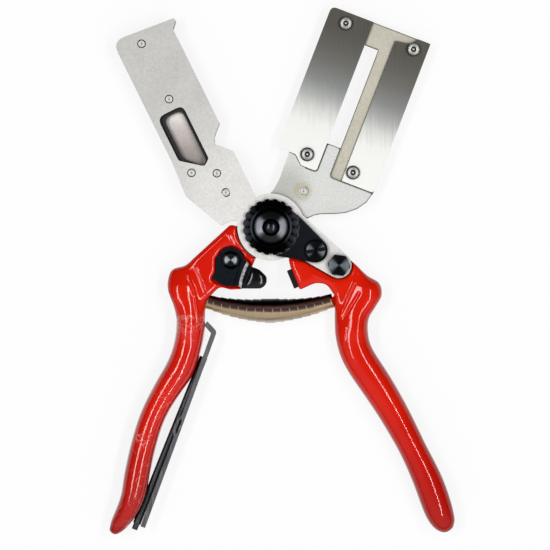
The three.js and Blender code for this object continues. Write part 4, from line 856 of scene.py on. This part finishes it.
gather_share = add_node(
    tree, "ShaderNodeMapRange", Value=edge_level.outputs[0],
    From_Min=GATHER_FOOT, From_Max=GATHER_FOOT + GATHER_TALL)
gather_band = add_node(
    tree, "ShaderNodeValToRGB", Fac=gather_share.outputs[0],
    stops=[(0.1, 0.0), (0.5, 0.75), (0.7, 0.9), (0.78, 0.0)])
pleats = add_node(
    tree, "ShaderNodeTexNoise", Vector=place, Scale=1000 / GATHER_MM, Detail=2.0, Distortion=2.0)
pleat_line = add_node(
    tree, "ShaderNodeValToRGB", Fac=pleats.outputs["Fac"],
    stops=[(0.0, 0.0), (0.46, 0.0), (0.5, 1.0), (0.54, 0.0), (1.0, 0.0)])
gathered = add_node(
    tree, "ShaderNodeMath", {"operation": "MULTIPLY"},
    in0=gather_band.outputs[0], in1=pleat_line.outputs[0])
# Painted highlight: thin white lines on the folds and the gathered pleats stand for the film's
# glints.
painted_film_glints = add_node(
    tree, "ShaderNodeMath", {"operation": "MAXIMUM"}, in0=lines.outputs[0], in1=gathered.outputs[0])
# Painted shade: below the sleeve the bare tip is painted a darker red.
tip_share = add_node(
    tree, "ShaderNodeMath", {"operation": "LESS_THAN"},
    in0=edge_level.outputs[0], in1=SLEEVE_FOOT)
tip_shaded = add_node(
    tree, "ShaderNodeMix", {"data_type": "RGBA"},
    in0=tip_share.outputs[0], in6=red, in7=linear(TIP_SHADE_HEX))
veiled = add_node(
    tree, "ShaderNodeMix", {"data_type": "RGBA"},
    in0=painted_film_glints.outputs[0], in6=tip_shaded.outputs[2], in7=linear(FILM_GLINT_HEX))
tree.links.new(veiled.outputs[2], principled.inputs["Base Color"])
dress(
    dipped_handle(
        "left_handle_dipped", "left_handle", "left_grip", LEFT_SHOULDER, LEFT_RIDGES, LEFT_CORNER),
    "blade_side", sleeved_vinyl, "red_grip", "left_handle", "left_grip")
dress(
    dipped_handle(
        "right_handle_dipped", "right_handle", "right_grip", RIGHT_SHOULDER, RIGHT_RIDGES,
        RIGHT_CORNER),
    "counter_side", bare_vinyl, "red_grip", "right_handle", "right_grip")

# Catch
# The catch is a blued plate on a big flat screw. Its bullet of black nylon is pushed by
# the thumb, and the plate's raised edge beside the bullet is rubbed to bare steel.
BAND_CENTRE = (11.2 * MM, -26.9 * MM)
BAND_RADIUS = 24 * MM
BAND_HALF_WIDTH = 0.6 * MM
BAND_LEVEL = 13 * MM
SCUFF_MM = 1.5
CATCH_EDGE = 0.14 * MM
blued_plate, tree, principled = new_material("blued_catch_plate")
place = add_node(tree, "ShaderNodeTexCoord").outputs["Object"]
level = add_node(tree, "ShaderNodeSeparateXYZ", Vector=place)
flat_place = add_node(
    tree, "ShaderNodeVectorMath", {"operation": "MULTIPLY"}, in0=place, in1=(1, 1, 0))
to_centre = add_node(
    tree, "ShaderNodeVectorMath", {"operation": "DISTANCE"},
    in0=flat_place.outputs[0], in1=(*BAND_CENTRE, 0))
off_band = add_node(
    tree, "ShaderNodeMath", {"operation": "COMPARE"},
    in0=to_centre.outputs["Value"], in1=BAND_RADIUS, in2=BAND_HALF_WIDTH)
raised = add_node(
    tree, "ShaderNodeMath", {"operation": "GREATER_THAN"}, in0=level.outputs["Z"], in1=BAND_LEVEL)
rubbed = add_node(
    tree, "ShaderNodeMath", {"operation": "MULTIPLY"},
    in0=off_band.outputs[0], in1=raised.outputs[0])
scuffs = add_node(tree, "ShaderNodeTexNoise", Vector=place, Scale=1000 / SCUFF_MM, Detail=5.0)
blue = add_node(
    tree, "ShaderNodeValToRGB", Fac=scuffs.outputs["Fac"],
    stops=[(0.3, "#13161A"), (0.7, "#1A1D22")])
bare = add_node(
    tree, "ShaderNodeValToRGB", Fac=scuffs.outputs["Fac"],
    stops=[(0.35, "#6E6E71"), (0.6, "#B9B9BC")])
colour = add_node(
    tree, "ShaderNodeMix", {"data_type": "RGBA"},
    in0=rubbed.outputs[0], in6=blue.outputs[0], in7=bare.outputs[0])
tree.links.new(colour.outputs[2], principled.inputs["Base Color"])
principled.inputs["Metallic"].default_value = 1.0
principled.inputs["Roughness"].default_value = 0.42
bump = add_node(
    tree, "ShaderNodeBump", Height=scuffs.outputs["Fac"], Strength=0.08, Distance=0.05 * MM)
tree.links.new(bump.outputs[0], principled.inputs["Normal"])
dress(node_copy("catch_lever", CATCH_EDGE), "catch", blued_plate, "black_steel", "catch_lever")

# Glass filled nylon, moulded: black with a clean gloss that a fine spark texture breaks.
SPARK_MM = 0.6
THUMB_VOXEL = 0.3 * MM
THUMB_ROUNDING = 110
THUMB_OUTLINE_ROUNDING = 55
THUMB_FULLNESS = 1.2
black_nylon, tree, principled = new_material("moulded_black_nylon")
place = add_node(tree, "ShaderNodeTexCoord").outputs["Object"]
spark = add_node(tree, "ShaderNodeTexNoise", Vector=place, Scale=1000 / SPARK_MM, Detail=2.0)
shade = add_node(
    tree, "ShaderNodeValToRGB", Fac=spark.outputs["Fac"],
    stops=[(0.3, "#040507"), (0.7, "#08090C")])
tree.links.new(shade.outputs[0], principled.inputs["Base Color"])
principled.inputs["Roughness"].default_value = 0.14
principled.inputs["Specular IOR Level"].default_value = 0.35
bump = add_node(
    tree, "ShaderNodeBump", Height=spark.outputs["Fac"], Strength=0.01, Distance=0.02 * MM)
tree.links.new(bump.outputs[0], principled.inputs["Normal"])
source = bpy.data.objects.new("thumb_source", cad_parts["catch_thumb"].data.copy())
scene.collection.objects.link(source)
mesh = outer_shell(source, THUMB_VOXEL)
bpy.data.objects.remove(source)
soften(mesh, mesh.verts, THUMB_ROUNDING, flat=False)
soften(mesh, mesh.verts, THUMB_OUTLINE_ROUNDING)
thumb_middle = Vector((*middle("catch_thumb"), 0))
bmesh.ops.scale(
    mesh, vec=(THUMB_FULLNESS, THUMB_FULLNESS, 1), verts=mesh.verts,
    space=Matrix.Translation(-thumb_middle))
dress(
    finish_mesh(mesh, "catch_thumb_moulded", 180), "catch", black_nylon, "black_plastic",
    "catch_thumb")
# Painted highlight: the light middle of these stops, with bow, paints the screw's two bright
# wedges.
catch_screw_steel = turned_steel(
    "turned_catch_screw",
    [(0.0, "#2A2D31"), (0.1, "#7C8186"), (0.6, "#888D92"), (0.72, "#1E2125"), (1.0, "#121417")],
    reach_mm=3.8, roughness=0.36, pull=1.0, bow=0.85)
made = with_spindle(node_copy("catch_screw", CATCH_EDGE), *middle("catch_screw"))
dress(made, "blade_side", catch_screw_steel, "screw_steel", "catch_screw")

# Bumper
# A thin rubber pad on the right handle's nose takes the blow when the shears close. It
# is moulded, so it is matt and charcoal with a faint bloom.
BLOOM_MM = 1.2
PAD_EDGE = 0.2 * MM
PAD_GROWTH_MM = 0.9
NOSE_HEADING = (0.88, 0.47, 0)
matt_rubber, tree, principled = new_material("moulded_rubber")
place = add_node(tree, "ShaderNodeTexCoord").outputs["Object"]
bloom = add_node(tree, "ShaderNodeTexNoise", Vector=place, Scale=1000 / BLOOM_MM, Detail=4.0)
shade = add_node(
    tree, "ShaderNodeValToRGB", Fac=bloom.outputs["Fac"],
    stops=[(0.35, "#060608"), (0.7, "#0E0E11")])
tree.links.new(shade.outputs[0], principled.inputs["Base Color"])
principled.inputs["Roughness"].default_value = 0.62
principled.inputs["Specular IOR Level"].default_value = 0.2
bump = add_node(
    tree, "ShaderNodeBump", Height=bloom.outputs["Fac"], Strength=0.15, Distance=0.05 * MM)
tree.links.new(bump.outputs[0], principled.inputs["Normal"])
to_nose = Vector(NOSE_HEADING) * PAD_GROWTH_MM * MM
made = node_copy("buffer_pad", PAD_EDGE)
pad_middle = Vector((*middle("buffer_pad"), 0))
for vert in made.data.vertices:
    if (vert.co - pad_middle).xy.dot(to_nose.xy) > 0:
        vert.co += to_nose
dress(made, "counter_side", matt_rubber, "black_rubber", "buffer_pad")

# Spring
# The volute spring is one flat strip of spring steel, wound so that each turn towards
# the middle is wider and laps over the last one. It is blued, painted dark on its upper side
# and straw on its lower side as painted reflection, and a nub on each handle holds it.
SPRING_LEFT = (-26.6, -30.74)
SPRING_RIGHT = (25.9, -30.2)
SPRING_LEVEL = 7.5
SPRING_SAG = 4.1
COILS = 14
COIL_STEPS = 36
STRIP_WIDTH = 4.0
STRIP_THICKNESS = 0.3
END_RADIUS = 2.75
MIDDLE_RADIUS = 4.95
END_CLEARANCE = 0.1
END_TURN = 0.5
WOBBLE_MM = 4
LAP_GLINT_HEX = "#E6DFD4"

left_end = Vector((*SPRING_LEFT, SPRING_LEVEL))
right_end = Vector((*SPRING_RIGHT, SPRING_LEVEL))
chord = right_end - left_end
bow = (chord.length_squared / 4 + SPRING_SAG ** 2) / 2 / SPRING_SAG
sweep = 2 * math.asin(chord.length / 2 / bow)
square_to_chord = Vector((-chord.y, chord.x, 0)).normalized()
bow_centre = (left_end + right_end) / 2 + square_to_chord * (bow - SPRING_SAG)
chord_angle = math.atan2(chord.y, chord.x)


def spring_frame(share, turn, radius):
    """Places a strip's section at a share of the bowed axis, turned about it."""
    lean = chord_angle + (share - 0.5) * sweep
    on_axis = bow_centre + Vector((math.sin(lean), -math.cos(lean), 0)) * bow
    return (
        Matrix.Translation(on_axis) @ Matrix.Rotation(lean, 4, "Z")
        @ Matrix.Rotation(turn, 4, "X") @ Matrix.Translation((0, radius, 0)))


inset_share = (END_CLEARANCE + STRIP_WIDTH / 2) / (bow * sweep)
total_steps = round((COILS + 2 * END_TURN) * COIL_STEPS)
mesh = bmesh.new()
across = mesh.verts.layers.float.new("across")
bmesh.ops.create_grid(mesh, x_segments=1, y_segments=1, size=0.5)
bmesh.ops.scale(mesh, vec=(STRIP_WIDTH, STRIP_THICKNESS, 1), verts=mesh.verts)
for corner in mesh.verts:
    corner[across] = 1 if corner.co.x > 0 else 0
face = next(iter(mesh.faces))
first_face, previous = face, Matrix.Identity(4)
for step in range(total_steps + 1):
    turns = step / COIL_STEPS
    along = min(max((turns - END_TURN) / COILS, 0), 1)
    share = inset_share + along * (1 - 2 * inset_share)
    radius = END_RADIUS + (MIDDLE_RADIUS - END_RADIUS) * (1 - abs(2 * along - 1))
    matrix = spring_frame(share, 2 * math.pi * turns, radius)
    if step:
        made = bmesh.ops.extrude_face_region(mesh, geom=[face])
        inner = face
        face = next(item for item in made["geom"] if isinstance(item, bmesh.types.BMFace))
        if inner is not first_face:
            mesh.faces.remove(inner)
    bmesh.ops.transform(mesh, matrix=matrix @ previous.inverted(), verts=face.verts[:])
    previous = matrix
bmesh.ops.recalc_face_normals(mesh, faces=mesh.faces)
bmesh.ops.scale(mesh, vec=(MM, MM, MM), verts=mesh.verts)
spring = finish_mesh(mesh, "volute_spring_wound", 50)

# Blued spring strip: painted reflection across the bow, dark blue brown on the upper side
# and straw on the lower side, with a painted glint on each turn's cut edge.
spring_steel, tree, principled = new_material("blued_spring_strip")
place = add_node(tree, "ShaderNodeTexCoord").outputs["Object"]
reflection_wobble = add_node(tree, "ShaderNodeTexNoise", Vector=place, Scale=1000 / WOBBLE_MM, Detail=4.0)
flat_place = add_node(
    tree, "ShaderNodeVectorMath", {"operation": "MULTIPLY"}, in0=place, in1=(1, 1, 0))
to_bow = add_node(
    tree, "ShaderNodeVectorMath", {"operation": "DISTANCE"},
    in0=flat_place.outputs[0], in1=(bow_centre.x * MM, bow_centre.y * MM, 0))
belly = add_node(
    tree, "ShaderNodeMapRange", Value=to_bow.outputs["Value"],
    From_Min=(bow - MIDDLE_RADIUS) * MM, From_Max=(bow + MIDDLE_RADIUS) * MM)
reflection_share = add_node(
    tree, "ShaderNodeMath", {"operation": "MULTIPLY_ADD"},
    in0=reflection_wobble.outputs["Fac"], in1=0.08, in2=belly.outputs[0])
colour = add_node(
    tree, "ShaderNodeValToRGB", Fac=reflection_share.outputs[0],
    stops=[(0.0, "#0C0A09"), (0.3, "#120D0C"), (0.35, "#7A564C"), (0.42, "#8A675C"),
           (0.47, "#4A3A34"), (0.57, "#5A4A42"), (0.63, "#B49C7E"), (0.82, "#C0A98C"),
           (0.9, "#978B79"), (1.0, "#BDB5A5")])
lap = add_node(tree, "ShaderNodeAttribute", {"attribute_name": "across"})
edge = add_node(
    tree, "ShaderNodeValToRGB", Fac=lap.outputs["Fac"],
    stops=[(0.0, 1.0), (0.06, 0.8), (0.1, 0.0), (0.9, 0.0), (0.94, 0.8), (1.0, 1.0)])
glint_band = add_node(
    tree, "ShaderNodeValToRGB", Fac=belly.outputs[0],
    stops=[(0.38, 0.0), (0.46, 0.5), (0.52, 0.5), (0.58, 0.1), (1.0, 0.05)])
lap_glint = add_node(
    tree, "ShaderNodeMath", {"operation": "MULTIPLY"},
    in0=edge.outputs[0], in1=glint_band.outputs[0])
lit = add_node(
    tree, "ShaderNodeMix", {"data_type": "RGBA"},
    in0=lap_glint.outputs[0], in6=colour.outputs[0], in7=linear(LAP_GLINT_HEX))
tree.links.new(lit.outputs[2], principled.inputs["Base Color"])
principled.inputs["Metallic"].default_value = 1.0
principled.inputs["Roughness"].default_value = 0.34
spring.data.materials.append(spring_steel)
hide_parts("volute_spring")
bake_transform(spring)

# Service keys
# Two keys of drawn steel bar lie against the left grip, as they come in the packet: a
# bent one, zinc plated dull grey, and a straight one left black from the heat treatment.
DRAW_MM = 1.0
DRAW_LENGTH_MM = 12
KEY_LEAN = math.radians(21)
KEY_ROUGHNESS = 0.42
KEY_BEND = -46 * MM
KEY_TOE_RISE = 4 * MM
TOE_SHIFT = Vector((-0.66, 1.95, 0)) * MM
BAR_EDGE = 0.3 * MM
KEY_ACROSS = Vector((-0.928, 0.372, 0))
KEY_WIDENING = 0.5
KEY_SHIFT = 0.6 * MM
ROD_EDGE = 0.12 * MM


def drawn_bar(name, dark_hex, pale_hex):
    """Drawn steel bar, marked along its length by the die."""
    material, tree, principled = new_material(name)
    place = add_node(tree, "ShaderNodeTexCoord").outputs["Object"]
    along = add_node(
        tree, "ShaderNodeMapping", Vector=place, Rotation=(0, 0, KEY_LEAN),
        Scale=(1000 / DRAW_MM, 1000 / DRAW_LENGTH_MM, 1000 / DRAW_MM))
    marks = add_node(tree, "ShaderNodeTexNoise", Vector=along.outputs[0], Scale=1.0, Detail=4.0)
    colour = add_node(
        tree, "ShaderNodeValToRGB", Fac=marks.outputs["Fac"],
        stops=[(0.3, dark_hex), (0.7, pale_hex)])
    # Painted shade: an occlusion node darkens the bar beside the grip and the other key.
    hollow = add_node(tree, "ShaderNodeAmbientOcclusion", {"samples": 8}, Distance=GAP_REACH)
    dark = add_node(
        tree, "ShaderNodeValToRGB", Fac=hollow.outputs["AO"], stops=[(0.3, 0.3), (0.8, 1.0)])
    shaded = add_node(
        tree, "ShaderNodeMix", MULTIPLIED,
        in0=1.0, in6=colour.outputs[0], in7=dark.outputs[0])
    tree.links.new(shaded.outputs[2], principled.inputs["Base Color"])
    principled.inputs["Metallic"].default_value = 1.0
    principled.inputs["Roughness"].default_value = KEY_ROUGHNESS
    bump = add_node(
        tree, "ShaderNodeBump", Height=marks.outputs["Fac"], Strength=0.2, Distance=0.05 * MM)
    tree.links.new(bump.outputs[0], principled.inputs["Normal"])
    return material


key_grey = drawn_bar("plated_key_bar", "#4A4A4C", "#6C6C6E")
key_black = drawn_bar("black_key_bar", "#2C2C31", "#45454B")
made = node_copy("bent_key", BAR_EDGE)
for vert in made.data.vertices:
    vert.co += TOE_SHIFT * min(max((vert.co.y - KEY_BEND) / KEY_TOE_RISE, 0), 1)
dress(made, "blade_side", key_grey, "key_steel", "bent_key")
made = node_copy("straight_key", ROD_EDGE)
key_middle = Vector((*middle("straight_key"), 0))
for vert in made.data.vertices:
    vert.co += KEY_ACROSS * (KEY_SHIFT + KEY_WIDENING * (vert.co - key_middle).dot(KEY_ACROSS))
dress(made, "blade_side", key_black, "key_black", "straight_key")
